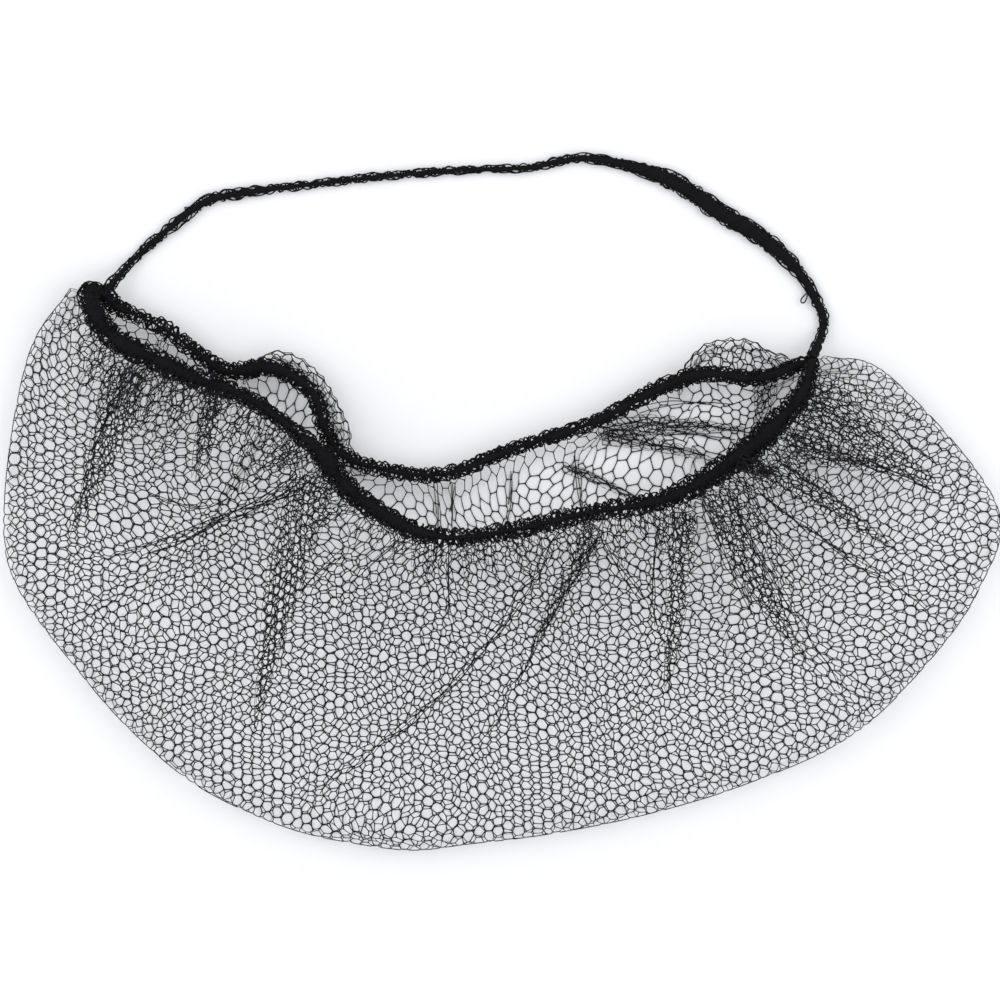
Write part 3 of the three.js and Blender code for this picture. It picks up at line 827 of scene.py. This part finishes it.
def honeycomb(sheet, place, settings, draw):
    """Strands of a honeycomb as one closed perforated sheet: its vertices and blocks of faces.

    Cell centres stand at ((column + half of every other row) * pitch, r * row). Corners lie two thirds of a
    row above and below the centres, and each edge has a midpoint. Every corner and midpoint has a point above
    and one below the sheet, and every cell a ring of twelve points drawn in towards its centre, so that each
    strand has a lozenge section. place maps plan points to the wall.
    """
    rows, columns, pitch, row = sheet.rows, sheet.columns, sheet.pitch, sheet.row
    r, c = np.meshgrid(np.arange(rows), np.arange(columns), indexing="ij")
    centre = np.stack([(c + 0.5 * (r % 2)) * pitch, r * row], axis=-1).reshape(-1, 2)
    stray = draw.normal(0, settings.unevenness * pitch, (len(centre), 2, 2))
    corners = np.stack([centre + (0, 2 * row / 3), centre - (0, 2 * row / 3)], axis=1) + stray
    odd = (r % 2).reshape(-1)
    cell = np.arange(rows * columns)
    neighbours = {
        "up_right": cell + columns + odd, "right": cell + 1, "down_right": cell - columns + odd,
        "down_left": cell - columns + odd - 1, "left": cell - 1, "up_left": cell + columns + odd - 1,
    }
    neighbours = {name: np.clip(index, 0, len(cell) - 1) for name, index in neighbours.items()}
    top, bottom = corners[:, 0], corners[:, 1]
    up_right, up_left = bottom[neighbours["up_right"]], bottom[neighbours["up_left"]]
    down_right = top[neighbours["down_right"]]
    midpoints = [(top + up_right) / 2, (top + up_left) / 2, (up_right + down_right) / 2]
    flat = np.stack([top, bottom, *midpoints], axis=1)

    inner = ((r > 0) & (r < rows - 1) & (c > 0) & (c < columns - 1)).reshape(-1)
    kept = inner & sheet.keep(centre)
    own = 5 * cell
    loop = np.stack([
        own, own + 2, 5 * neighbours["up_right"] + 1, own + 4,
        5 * neighbours["down_right"], 5 * neighbours["down_right"] + 3,
        own + 1, 5 * neighbours["down_left"] + 2, 5 * neighbours["down_left"],
        5 * neighbours["left"] + 4, 5 * neighbours["up_left"] + 1, own + 3,
    ], axis=1)[kept]
    used, loop = np.unique(loop, return_inverse=True)
    loop = loop.reshape(-1, 12)
    plan = sheet.fit(flat.reshape(-1, 2)[used])

    spine = place(plan)
    across = place(plan + (SLOPE_STEP, 0)) - place(plan - (SLOPE_STEP, 0))
    upward = place(plan + (0, SLOPE_STEP)) - place(plan - (0, SLOPE_STEP))
    normal = unit(np.cross(across, upward))
    radius = settings.strand / MM / 2
    thick = radius * draw.uniform(*STRAND_THICKNESS, (len(spine), 1))

    ring = spine[loop]
    middle = ring.mean(axis=1, keepdims=True)
    distance = np.linalg.norm(middle - ring, axis=2, keepdims=True)
    width = np.tile([settings.knot / MM, radius], 6)[None, :, None]
    holes = ring + (middle - ring) * np.minimum(width / np.maximum(distance, 1e-6), CELL_FILL)

    count = len(spine)
    vertices = np.concatenate([spine + normal * thick, spine - normal * thick, holes.reshape(-1, 3)])
    after = np.roll(loop, -1, axis=1)
    hole = (2 * count + np.arange(loop.size)).reshape(loop.shape)
    hole_after = np.roll(hole, -1, axis=1)
    upper = np.stack([loop, hole, hole_after, after], axis=-1).reshape(-1, 4)
    lower = np.stack([loop + count, after + count, hole_after, hole], axis=-1).reshape(-1, 4)
    open_side = np.stack([~kept[neighbours[name][kept]] for name in neighbours], axis=1).repeat(2, axis=1)
    rim = np.stack([loop, after, after + count, loop + count], axis=-1)[open_side]
    return vertices, [upper, lower, rim]


def tube_faces(rings, sides, closed):
    """Blocks of faces of a tube whose points are numbered ring by ring.

    Quads join each ring to the next, and the last one to the first in a closed tube. An open tube has a flat
    face at each end.
    """
    i = np.arange(rings if closed else rings - 1)[:, None]
    j = np.arange(sides)[None, :]
    i2, j2 = (i + 1) % rings, (j + 1) % sides
    corners = (i * sides + j, i2 * sides + j, i2 * sides + j2, i * sides + j2)
    quads = np.stack(np.broadcast_arrays(*corners), axis=-1).reshape(-1, 4)
    if closed:
        return [quads]
    return [quads, j[:, ::-1], (rings - 1) * sides + j]


class Route:
    """A smooth path with values along it, addressed by length, with a level side and a rise direction."""

    def __init__(self, rows, closed, step):
        dense = smooth_curve(rows, np.linspace(0, 1, ROUTE_POINTS * len(rows)), closed)
        length = arc_length(dense[:, :3])
        self.closed = closed
        self.length = length[-1]
        self.at = np.linspace(0, self.length, int(self.length / step) + 1)
        columns = range(dense.shape[1])
        self.rows = np.stack([np.interp(self.at, length, dense[:, k]) for k in columns], axis=1)
        along = self.rows[:, :3]
        if closed:
            ring = np.concatenate([along[-2:-1], along, along[1:2]])
            self.forward = unit(ring[2:] - ring[:-2])
        else:
            self.forward = unit(np.gradient(along, axis=0))
        self.side = unit(np.cross(UP, self.forward))
        self.rise = np.cross(self.forward, self.side)

    def look(self, values, s):
        """Values along the path at lengths s."""
        s = s % self.length if self.closed else np.clip(s, 0, self.length)
        return np.stack([np.interp(s, self.at, values[:, k]) for k in range(values.shape[1])], axis=1)


def wander(draw, at, closed, step, low, high):
    """Smooth random values between low and high along lengths, with a new one every step."""
    knots = draw.uniform(low, high, max(int(at[-1] / step) + 1, 2))
    return smooth_curve(knots[:, None], at / at[-1], closed)[:, 0]


def knit_cord(route, flatness, stitch, swell, draw):
    """Dense knitted cord: an oval carried along a route, with a relief of stitches.

    The radius is scaled by 1 + CORD_RELIEF * (2 |sin(pi s / stitch + 2 angle) cos(pi s / stitch - 3 angle)|
    - CORD_LEVEL), so that small humps lean both ways round the cord. Its width in column 3 of the route
    varies at random by the share swell.
    """
    uneven = wander(draw, route.at, route.closed, SWELL_STEP, 1 - swell, 1 + swell)
    count = len(route.at) - 1 if route.closed else len(route.at)
    s = route.at[:count, None]
    angle = -TURN * np.arange(CORD_SIDES)[None, :] / CORD_SIDES
    hump = np.abs(np.sin(np.pi * s / stitch + 2 * angle)) * np.abs(np.cos(np.pi * s / stitch - 3 * angle))
    scale = 1 + CORD_RELIEF * (2 * hump - CORD_LEVEL)
    half = route.rows[:count, 3:4] / 2 * uneven[:count, None]
    across = (half * np.cos(angle) * scale)[..., None] * route.side[:count, None]
    upward = (half * flatness * np.sin(angle) * scale)[..., None] * route.rise[:count, None]
    points = route.rows[:count, None, :3] + across + upward
    return points.reshape(-1, 3), tube_faces(count, CORD_SIDES, route.closed)


def yarn_tube(points, radial, radius, closed):
    """Round yarn along points: rings square to the way, turned by the radial direction."""
    if closed:
        ring = np.concatenate([points[-1:], points, points[:1]])
        forward = unit(ring[2:] - ring[:-2])
    else:
        forward = unit(np.gradient(points, axis=0))
    radial = unit(radial - forward * (radial * forward).sum(axis=1, keepdims=True))
    other = np.cross(forward, radial)
    angle = TURN * np.arange(YARN_SIDES) / YARN_SIDES
    ring = radial[:, None] * np.cos(angle)[None, :, None] + other[:, None] * np.sin(angle)[None, :, None]
    vertices = (points[:, None] + radius * ring).reshape(-1, 3)
    return vertices, tube_faces(len(points), YARN_SIDES, closed)


def looped_yarn(route, yarn, stitch, flatness, radius, draw):
    """Yarn that winds round the cord in open loops.

    At loop angle p it stands at length s + lean * cos(p), (half the cord + loop reach) * sin(p) to the side
    and half the cord * flatness * cos(p) up. Each half loop's reach is drawn at random round the yarn's share
    of column 4, and its place along the route strays by a share of its stitch.
    """
    stitch = stitch * yarn.stitch
    lean, phase = yarn.lean, yarn.phase
    loops = int(route.length / stitch)
    count = loops * LOOP_POINTS + (0 if route.closed else 1)
    p = TURN * np.arange(count) / LOOP_POINTS
    s = route.length * np.arange(count) / (loops * LOOP_POINTS)
    sizes = yarn.reach * draw.uniform(*LOOP_SIZES, 2 * loops + 1)
    strays = draw.normal(0, LOOP_STRAY * stitch, 2 * loops + 1)
    if route.closed:
        sizes[-1], strays[-1] = sizes[0], strays[0]
    halves = np.arange(2 * loops + 1)
    size = np.interp(p / np.pi, halves, sizes)
    shift = s + lean * np.cos(p + phase) + np.interp(p / np.pi, halves, strays)
    rows = route.look(route.rows, shift)
    half = rows[:, 3] / 2 + rows[:, 4] * size
    side, rise = route.look(route.side, shift), route.look(route.rise, shift)
    sideways = half * np.sin(p + phase)
    upward = (rows[:, 3] / 2 - radius) * flatness * np.cos(p + phase)
    radial = side * sideways[:, None] + rise * upward[:, None]
    points = rows[:, :3] + radial
    points[:, 2] = np.maximum(points[:, 2], radius + YARN_CLEARANCE)
    return yarn_tube(points, radial + RING_RISE * UP, radius, route.closed)


def edge_yarns(route, edge, radius, draw):
    """Yarns that run along both sides of the cord and bow out from it.

    Each stands half the cord plus a smooth random share of the loop reach to the side. The share is new every
    step.
    """
    count = len(route.at) - 1 if route.closed else len(route.at)
    parts = []
    for way in (1, -1) * edge.pairs:
        bow = wander(draw, route.at, route.closed, edge.step, *EDGE_BOW)
        out = way * (route.rows[:, 3] / 2 + route.rows[:, 4] * bow)
        points = (route.rows[:, :3] + route.side * out[:, None])[:count]
        points[:, 2] = np.maximum(points[:, 2], radius + YARN_CLEARANCE)
        parts.append(yarn_tube(points, np.broadcast_to(UP, points.shape), radius, route.closed))
    return parts


def stray_loop(radius):
    """Teardrop of yarn.

    At angle t it lies (1 - cos t) / 2 of the way along its axis and sin t (1 - cos t) / 2 half widths aside.
    """
    t = TURN * np.arange(STRAY_LOOP["points"]) / STRAY_LOOP["points"]
    root, tip = np.array(STRAY_LOOP["root"]), np.array(STRAY_LOOP["tip"])
    axis = tip - root
    side = unit(np.array((-axis[1], axis[0])))
    out = (1 - np.cos(t)) / 2
    plan = root + out[:, None] * axis + (STRAY_LOOP["width"] * np.sin(t) * out)[:, None] * side
    points = level(plan, STRAY_LOOP["height"])
    return yarn_tube(points, np.broadcast_to(UP, points.shape), radius, True)


def joined(parts):
    """Vertices of several meshes as one, and their blocks of faces with shifted indices."""
    starts = np.cumsum([0, *(len(vertices) for vertices, _ in parts)])
    blocks = [block + start for (_, own), start in zip(parts, starts) for block in own]
    return np.concatenate([vertices for vertices, _ in parts]), blocks


def make_piece(name, vertices, blocks, material, node, slot):
    """Mesh object at the origin that rides on the body, stands for a solid and takes the given material; the
    slot is not used.
    """
    mesh = bpy.data.meshes.new(name)
    faces = list(chain.from_iterable(block.tolist() for block in blocks))
    mesh.from_pydata((vertices * MM).tolist(), [], faces)
    mesh.update()
    mesh.polygons.foreach_set("use_smooth", np.ones(len(mesh.polygons), bool))
    mesh.materials.append(material)
    piece = bpy.data.objects.new(name, mesh)
    bpy.context.scene.collection.objects.link(piece)
    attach(piece, BODY)
    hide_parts(node)
    return piece


def thread_material(name, colour, finish):
    """Black thread: noise mottles its colour and roughness, and finer noise gives its fibres a bump."""
    material = bpy.data.materials.get(name)
    if material:
        return material
    material = bpy.data.materials.new(name)
    material.use_nodes = True
    nodes, links = material.node_tree.nodes, material.node_tree.links
    shader = nodes["Principled BSDF"]
    shader.inputs["Sheen Weight"].default_value = finish.sheen
    shader.inputs["Sheen Roughness"].default_value = SHEEN_ROUGHNESS
    shader.inputs["Specular IOR Level"].default_value = THREAD_GLOSS
    place = nodes.new("ShaderNodeTexCoord")
    tone = nodes.new("ShaderNodeTexNoise")
    tone.inputs["Scale"].default_value = MOTTLE_SCALE
    tone.inputs["Detail"].default_value = MOTTLE_DETAIL
    ramp = nodes.new("ShaderNodeValToRGB")
    for stop, position, tint in zip(ramp.color_ramp.elements, MOTTLE_RANGE, MOTTLE_TONES):
        stop.position = position
        stop.color = (*(tint * c for c in colour), 1)
    gloss = nodes.new("ShaderNodeMapRange")
    gloss.inputs["To Min"].default_value = finish.roughness - ROUGHNESS_SPREAD
    gloss.inputs["To Max"].default_value = finish.roughness + ROUGHNESS_SPREAD
    fibres = nodes.new("ShaderNodeTexNoise")
    fibres.inputs["Scale"].default_value = finish.fibre
    fibres.inputs["Detail"].default_value = FIBRE_DETAIL
    bump = nodes.new("ShaderNodeBump")
    bump.inputs["Strength"].default_value = FIBRE_STRENGTH
    bump.inputs["Distance"].default_value = FIBRE_DEPTH
    links.new(place.outputs["Object"], tone.inputs["Vector"])
    links.new(place.outputs["Object"], fibres.inputs["Vector"])
    links.new(tone.outputs["Fac"], ramp.inputs["Fac"])
    links.new(ramp.outputs["Color"], shader.inputs["Base Color"])
    links.new(tone.outputs["Fac"], gloss.inputs["Value"])
    links.new(gloss.outputs["Result"], shader.inputs["Roughness"])
    links.new(fibres.outputs["Fac"], bump.inputs["Height"])
    links.new(bump.outputs["Normal"], shader.inputs["Normal"])
    return material


def net_thread(settings):
    """Smooth nylon thread of the net."""
    return thread_material("net_thread", settings.colour, NET_FINISH)


def knit_yarn(settings):
    """Fuzzy textured yarn of the rim and strap."""
    return thread_material("knit_yarn", settings.colour, KNIT_FINISH)


class FrontWall:
    """Front wall of the pouch over its plan: from the rim over the crown and round the outer fold."""

    def __init__(self):
        self.lines = pouch_lines(np.linspace(0, 1, LINE_POINTS))
        self.rim, self.edge = self.lines["front"], self.lines["edge"]
        self.inward = left_of(self.edge)[:, :2]
        skirt = self.edge[:, :2] - self.inward * ROLL * (np.pi / 2 - 1)
        self.region = np.concatenate([self.rim[:, :2], skirt[::-1]])

    def below_rim(self, plan):
        """Distance from the band of the rim."""
        _, distance, share = nearest_on(self.rim[:, :2], plan)
        reach = np.interp(share, np.linspace(0, 1, len(self.rim)), self.lines["reach"][:, 0])
        return np.maximum(distance - BAND_COVER * reach, 0)

    def inside_edge(self, plan):
        """Signed distance inside the outer fold, inward direction there and share of the way along it."""
        offset, distance, share = nearest_on(self.edge[:, :2], plan)
        at = np.linspace(0, 1, len(self.edge))
        inward = unit(np.column_stack([np.interp(share, at, self.inward[:, k]) for k in (0, 1)]))
        return distance * np.sign((offset * inward).sum(axis=1)), inward, share

    def height(self, plan, depth, edge_share):
        """Height over a plan point.

        It follows the share of the way from the rim to the outer fold: rim height, WALL_SHAPE as shares of
        the crown height, then OUTER_FOLD. Rim and crown height rise by half sines along the rim.
        """
        _, distance, rim_share = nearest_on(self.rim[:, :2], plan)
        depth = np.maximum(depth, 0)
        way = distance / np.maximum(distance + depth, 1e-6)
        arch = np.sin(np.pi * ((1 - way) * rim_share + way * edge_share))
        rim = FRONT_RIM_CORNER + (FRONT_RIM_MIDDLE - FRONT_RIM_CORNER) * arch
        knots = [0.0, *(along for along, _ in WALL_SHAPE), 1.0]
        parts = [(1, 0, 0), *((0, height, 0) for _, height in WALL_SHAPE), (0, 0, 1)]
        weights = smooth_curve(parts, np.interp(way, knots, np.linspace(0, 1, len(knots))))
        heights = np.column_stack([rim, rim + CROWN_RISE * arch, np.full(len(rim), OUTER_FOLD)])
        return (weights * heights).sum(axis=1)

    def lay(self, plan, lift):
        """Lays plan points on the wall.

        From ROLL inside the outer fold the net goes round a quarter circle to the outline.
        """
        depth, inward, share = self.inside_edge(plan)
        height = self.height(plan, depth, share) + lift
        past = np.maximum(ROLL - depth, 0)
        angle = np.minimum(past / ROLL, np.pi / 2)
        rolled = plan + inward * (ROLL * (1 - np.sin(angle)) - depth)[:, None]
        height = NET_FLOOR + (height - NET_FLOOR) * (1 + np.cos(angle)) / 2
        return level(np.where((past > 0)[:, None], rolled, plan), height)


class BEARDNET_OT_front_net(bpy.types.Operator):
    """Builds the front wall of the pouch as folded and gathered honeycomb strands"""

    bl_idname = "beardnet.front_net"
    bl_label = "Front Net"

    def execute(self, context):
        net = context.scene.beard_net
        draw = np.random.default_rng(net.seed)
        wall = FrontWall()
        rim = wall.rim[:, :2]
        pitch = net.front_pitch / MM
        sheet = FlatNet(wall.region, pitch, net.front_turn)

        def placed(plan):
            """Flat net that hangs from the rim, drifts, is squeezed and creased, and lies on the wall."""
            depth, _, _ = wall.inside_edge(plan)
            below = wall.below_rim(plan)
            slack = smoothstep(below, *FRONT_SLACK.rim) * smoothstep(depth, *FRONT_SLACK.border)
            room = (1 - np.exp(-below / RIM_GRIP)) * smoothstep(depth, *FOLD_EDGE)
            plan = gathered(plan, rim, below, smoothstep(depth, *FRONT_GATHERING.edge), FRONT_GATHERING)
            plan = hung(plan, rim, below, FRONT_HANG.amount * room, FRONT_HANG.reach)
            plan = plan + (drifted(plan, net.drift / MM) - plan) * slack[:, None]
            plan = squeezed(plan, FRONT_FOLDS, room)
            return wall.lay(*crease_net(plan, FRONT_CREASES, room, FRONT_CREASE_PULL))

        make_piece("front_net", *honeycomb(sheet, placed, net, draw), net_thread(net), "net_pouch", "net")

        folds = [*gather_folds(wall.rim, net.gather / MM, draw), *FRONT_FOLDS]
        parts = fold_layers(folds, pitch, net.front_turn, wall.lay, net, draw)
        parts += crease_strands(FRONT_CREASES, wall.lay, net, draw)
        make_piece("front_folds", *joined(parts), net_thread(net), "net_pouch", "net")
        return {"FINISHED"}


def puff_wall(puff_entry):
    """Upper side of a puff.

    Each meridian is a B-spline that starts at the middle of the back rim, turns over at the puff's outline
    and ends on the table. The outline has scallops of SCALLOP_DEPTH * |sin(pi * length / SCALLOP_STEP)|.
    """
    lines = pouch_lines(np.linspace(puff_entry.low, puff_entry.high, PUFF_LINES))
    back, turn, puff = lines["back"], lines["turn"], lines["puff"]
    angle = (puff - 1) * np.pi / 2
    reach = lines["reach"][:, 1]
    seat = back + left_of(back) * (reach * np.cos(angle))[:, None] + UP * (reach * np.sin(angle))[:, None]
    height = seat[:, 2] + PUFF_RISE * puff
    inward = unit((back - turn) * (1, 1, 0))
    scallop = SCALLOP_DEPTH * puff * np.abs(np.sin(np.pi * arc_length(turn) / SCALLOP_STEP))
    turn = turn + inward * scallop[:, None]
    shoulder, foot = turn + inward * PUFF_SHOULDER, turn + inward * PUFF_FOOT
    controls = [back, seat, level(shoulder, height), level(turn, height / 2), level(shoulder, NET_FLOOR),
                level(foot, NET_FLOOR)]
    spline = bspline(np.stack(controls, axis=1), PUFF_STEPS)
    return Wall(spline, spline.shape[1] - 1, PUFF_HEIGHTS)


class BEARDNET_OT_back_net(bpy.types.Operator):
    """Builds the back wall of the pouch on the table and the puffs behind its rim"""

    bl_idname = "beardnet.back_net"
    bl_label = "Back Net"

    def execute(self, context):
        net = context.scene.beard_net
        draw = np.random.default_rng(net.seed + 1)
        lines = pouch_lines(np.linspace(0, 1, LINE_POINTS))
        edge, back, turn = (lines[name][:, :2] for name in ("edge", "back", "turn"))
        stations = np.linspace(0, 1, len(back))
        rise = left_of(lines["back"])[:, :2]
        behind = turn + rise * SEAT * (1 - PUFF_TUCK * lines["puff"][:, None])
        outline = np.concatenate([edge, behind[::-1]])
        pitch = net.back_pitch / MM
        sheet = FlatNet(outline, pitch, net.back_turn)

        def laid(plan, lift):
            """Net on the table that lifts to the back rim and to the outer fold.

            Within BACK_RAMP of the rim, and where there is no puff, it rises with the square of the nearness.
            Within ROLL of the outer fold it rises along a quarter circle.
            """
            _, distance, share = nearest_on(back, plan)
            puff = np.interp(share, stations, lines["puff"])
            rim = np.interp(share, stations, lines["back"][:, 2])
            near = np.clip(1 - distance / BACK_RAMP, 0, 1)
            _, depth, _ = nearest_on(edge, plan)
            round_up = 1 - np.sqrt(1 - np.clip(1 - depth / ROLL, 0, 1)**2)
            height = NET_FLOOR + lift + (1 - puff) * (rim - BACK_DROP) * near**2
            height = height + (ROLL - NET_FLOOR) * round_up
            return level(plan, height)

        def placed(plan):
            """Flat net that hangs from the rim, drifts, is creased, and lies on the table."""
            offset, distance, share = nearest_on(back, plan)
            _, depth, _ = nearest_on(outline, plan)
            _, inside_edge, _ = nearest_on(edge, plan)
            backward = np.column_stack([np.interp(share, stations, rise[:, k]) for k in (0, 1)])
            ahead = -(offset * backward).sum(axis=1)
            slack = smoothstep(distance, *BACK_SLACK.rim) * smoothstep(depth, *BACK_SLACK.border)
            room = smoothstep(ahead, *BACK_AHEAD) * smoothstep(inside_edge, *BACK_GATHERING.edge)
            room = room * smoothstep(plan[:, 0], *BACK_GATHER_X)
            plan = gathered(plan, back, distance, room, BACK_GATHERING)
            hang = BACK_HANG.amount - BACK_PULL * smoothstep(plan[:, 0], *BACK_PULL_X)
            plan = hung(plan, back, distance, slack * hang, BACK_HANG.reach)
            plan = plan + (drifted(plan, BACK_DRIFT * net.drift / MM) - plan) * slack[:, None]
            plan = squeezed(plan, BACK_FOLDS, slack)
            return laid(*crease_net(plan, BACK_CREASES, slack, BACK_CREASE_PULL))

        make_piece("back_net", *honeycomb(sheet, placed, net, draw), net_thread(net), "net_pouch", "net")
        parts = fold_layers(BACK_FOLDS, pitch, net.back_turn, laid, net, draw)
        parts += crease_strands(BACK_CREASES, laid, net, draw)
        make_piece("back_folds", *joined(parts), net_thread(net), "net_pouch", "net")

        for entry in PUFFS:
            wall = puff_wall(entry)
            tops = np.column_stack([wall.along, wall.top])[::-PUFF_TOP_STEP]
            region = np.concatenate([((0, 0), (wall.along[-1], 0)), tops])
            sheet = FlatNet(region, pitch, net.back_turn)
            strands = honeycomb(sheet, wall.place, net, draw)
            make_piece(entry.name, *strands, net_thread(net), "net_pouch", "net")
        return {"FINISHED"}


def rim_route(step):
    """Closed route of the mouth rim: front from left to right, round the corner, back to the left."""
    u = np.linspace(0, 1, RIM_POINTS)
    lines = pouch_lines(u)
    table = np.array(RIM_KNIT, float)
    knit = np.stack([np.interp(u, table[:, 0], table[:, k]) for k in range(1, 5)], axis=1)
    front = np.column_stack([lines["front"], knit[:, :2]])
    back = np.column_stack([lines["back"], knit[:, 2:]])[::-1]

    def corner(first, second, swing):
        """Halfway between the rims' ends, swung outwards."""
        return ((first + second) / 2 + np.array((*swing, 0, 0, 0)))[None]

    right = corner(front[-1], back[0], CORNER_SWING["right"])
    left = corner(back[-1], front[0], CORNER_SWING["left"])
    return Route(np.concatenate([front, right, back, left]), True, step)


class BEARDNET_OT_mouth_rim(bpy.types.Operator):
    """Builds the knitted elastic rim of the mouth with its loops"""

    bl_idname = "beardnet.mouth_rim"
    bl_label = "Mouth Rim"

    def execute(self, context):
        knit = context.scene.beard_knit
        draw = np.random.default_rng(knit.seed)
        route = rim_route(RIM_STEP)
        stitch = knit.rim_stitch / MM
        radius = knit.yarn / MM / 2
        material = knit_yarn(knit)
        cord = knit_cord(route, knit.flatness, stitch, RIM_SWELL, draw)
        make_piece("rim_cord", *cord, material, "mouth_band", "knit")
        loops = [looped_yarn(route, yarn, stitch, knit.flatness, radius, draw) for yarn in RIM_YARNS]
        loops += edge_yarns(route, RIM_EDGE, radius, draw)
        make_piece("rim_loops", *joined(loops), material, "mouth_band", "knit")
        return {"FINISHED"}


class BEARDNET_OT_head_strap(bpy.types.Operator):
    """Builds the knitted head strap with its loops"""

    bl_idname = "beardnet.head_strap"
    bl_label = "Head Strap"

    def execute(self, context):
        knit = context.scene.beard_knit
        draw = np.random.default_rng(knit.seed + 1)
        route = Route([(*row.at, row.height, row.cord, row.loop) for row in STRAP_KNIT], False, STRAP_STEP)
        route.rows[:, 2] = np.maximum(route.rows[:, 2], STRAP_LOWEST)
        stitch = knit.strap_stitch / MM
        radius = knit.yarn / MM / 2
        points, blocks = knit_cord(route, STRAP_FLATNESS, stitch, STRAP_SWELL, draw)
        points[:, 2] = np.maximum(points[:, 2], CORD_CLEARANCE)
        parts = [(points, blocks), stray_loop(radius)]
        parts += [looped_yarn(route, yarn, stitch, STRAP_FLATNESS, radius, draw) for yarn in STRAP_YARNS]
        parts += edge_yarns(route, STRAP_EDGE, radius, draw)
        strap = make_piece("head_strap_knit", *joined(parts), knit_yarn(knit), "head_strap", "knit")
        return {"FINISHED"}


class BEARDNET_OT_stage(bpy.types.Operator):
    """Builds the pale table, the soft light and the camera straight above"""

    bl_idname = "beardnet.stage"
    bl_label = "Stage"

    def execute(self, context):
        stage = context.scene.beard_stage
        scene = context.scene

        corners = np.array(((-1, -1, 0), (1, -1, 0), (1, 1, 0), (-1, 1, 0)), float) * TABLE_HALF
        mesh = bpy.data.meshes.new("table")
        mesh.from_pydata(corners.tolist(), [], [(0, 1, 2, 3)])
        table = bpy.data.objects.new("table", mesh)
        scene.collection.objects.link(table)
        top = bpy.data.materials.new("table_top")
        top.use_nodes = True
        shader = top.node_tree.nodes["Principled BSDF"]
        shader.inputs["Base Color"].default_value = (*stage.floor, 1)
        shader.inputs["Roughness"].default_value = TABLE_ROUGHNESS
        shader.inputs["Specular IOR Level"].default_value = TABLE_GLOSS
        mesh.materials.append(top)

        world = bpy.data.worlds.new("studio")
        world.use_nodes = True
        background = world.node_tree.nodes["Background"]
        background.inputs["Color"].default_value = SKY_COLOUR
        background.inputs["Strength"].default_value = stage.sky
        scene.world = world

        for softbox in SOFTBOXES:
            lamp = bpy.data.lights.new(softbox.name, "AREA")
            lamp.shape = "SQUARE"
            lamp.size = SOFTBOX_SIZE
            lamp.energy = stage.lamp
            light = bpy.data.objects.new(softbox.name, lamp)
            light.location = softbox.place
            light.rotation_euler = softbox.turn
            scene.collection.objects.link(light)

        camera = bpy.data.cameras.new("camera")
        camera.lens = stage.lens
        camera.sensor_width = FILM_WIDTH
        viewer = bpy.data.objects.new("camera", camera)
        viewer.location = (0, 0, stage.view_width * stage.lens / FILM_WIDTH)
        scene.collection.objects.link(viewer)
        scene.camera = viewer
        scene.view_settings.view_transform = "Standard"
        return {"FINISHED"}


class BEARDNET_PT_sidebar(bpy.types.Panel):
    """Lists the sizes and the steps of the beard net"""

    bl_idname = "BEARDNET_PT_sidebar"
    bl_label = "Beard Net"
    bl_space_type = "VIEW_3D"
    bl_region_type = "UI"
    bl_category = "Beard Net"

    def draw(self, context):
        for group in (context.scene.beard_net, context.scene.beard_knit, context.scene.beard_stage):
            box = self.layout.box()
            for name in group.__annotations__:
                box.prop(group, name)
        for operator in OPERATORS:
            self.layout.operator(operator.bl_idname)


OPERATORS = (
    BEARDNET_OT_stage,
    BEARDNET_OT_head_strap,
    BEARDNET_OT_mouth_rim,
    BEARDNET_OT_front_net,
    BEARDNET_OT_back_net,
)
CLASSES = (NetSettings, KnitSettings, StageSettings, *OPERATORS, BEARDNET_PT_sidebar)


def register():
    """Registers the classes and hangs the settings on the scene."""
    for entry in CLASSES:
        bpy.utils.register_class(entry)
    bpy.types.Scene.beard_net = PointerProperty(type=NetSettings)
    bpy.types.Scene.beard_knit = PointerProperty(type=KnitSettings)
    bpy.types.Scene.beard_stage = PointerProperty(type=StageSettings)


def unregister():
    """Takes the settings and the classes away again."""
    del bpy.types.Scene.beard_stage
    del bpy.types.Scene.beard_knit
    del bpy.types.Scene.beard_net
    for entry in reversed(CLASSES):
        bpy.utils.unregister_class(entry)


def main():
    """Builds the stage and every piece in order."""
    register()
    bpy.ops.beardnet.stage()
    bpy.ops.beardnet.head_strap()
    bpy.ops.beardnet.mouth_rim()
    bpy.ops.beardnet.front_net()
    bpy.ops.beardnet.back_net()


if __name__ == "__main__":
    main()
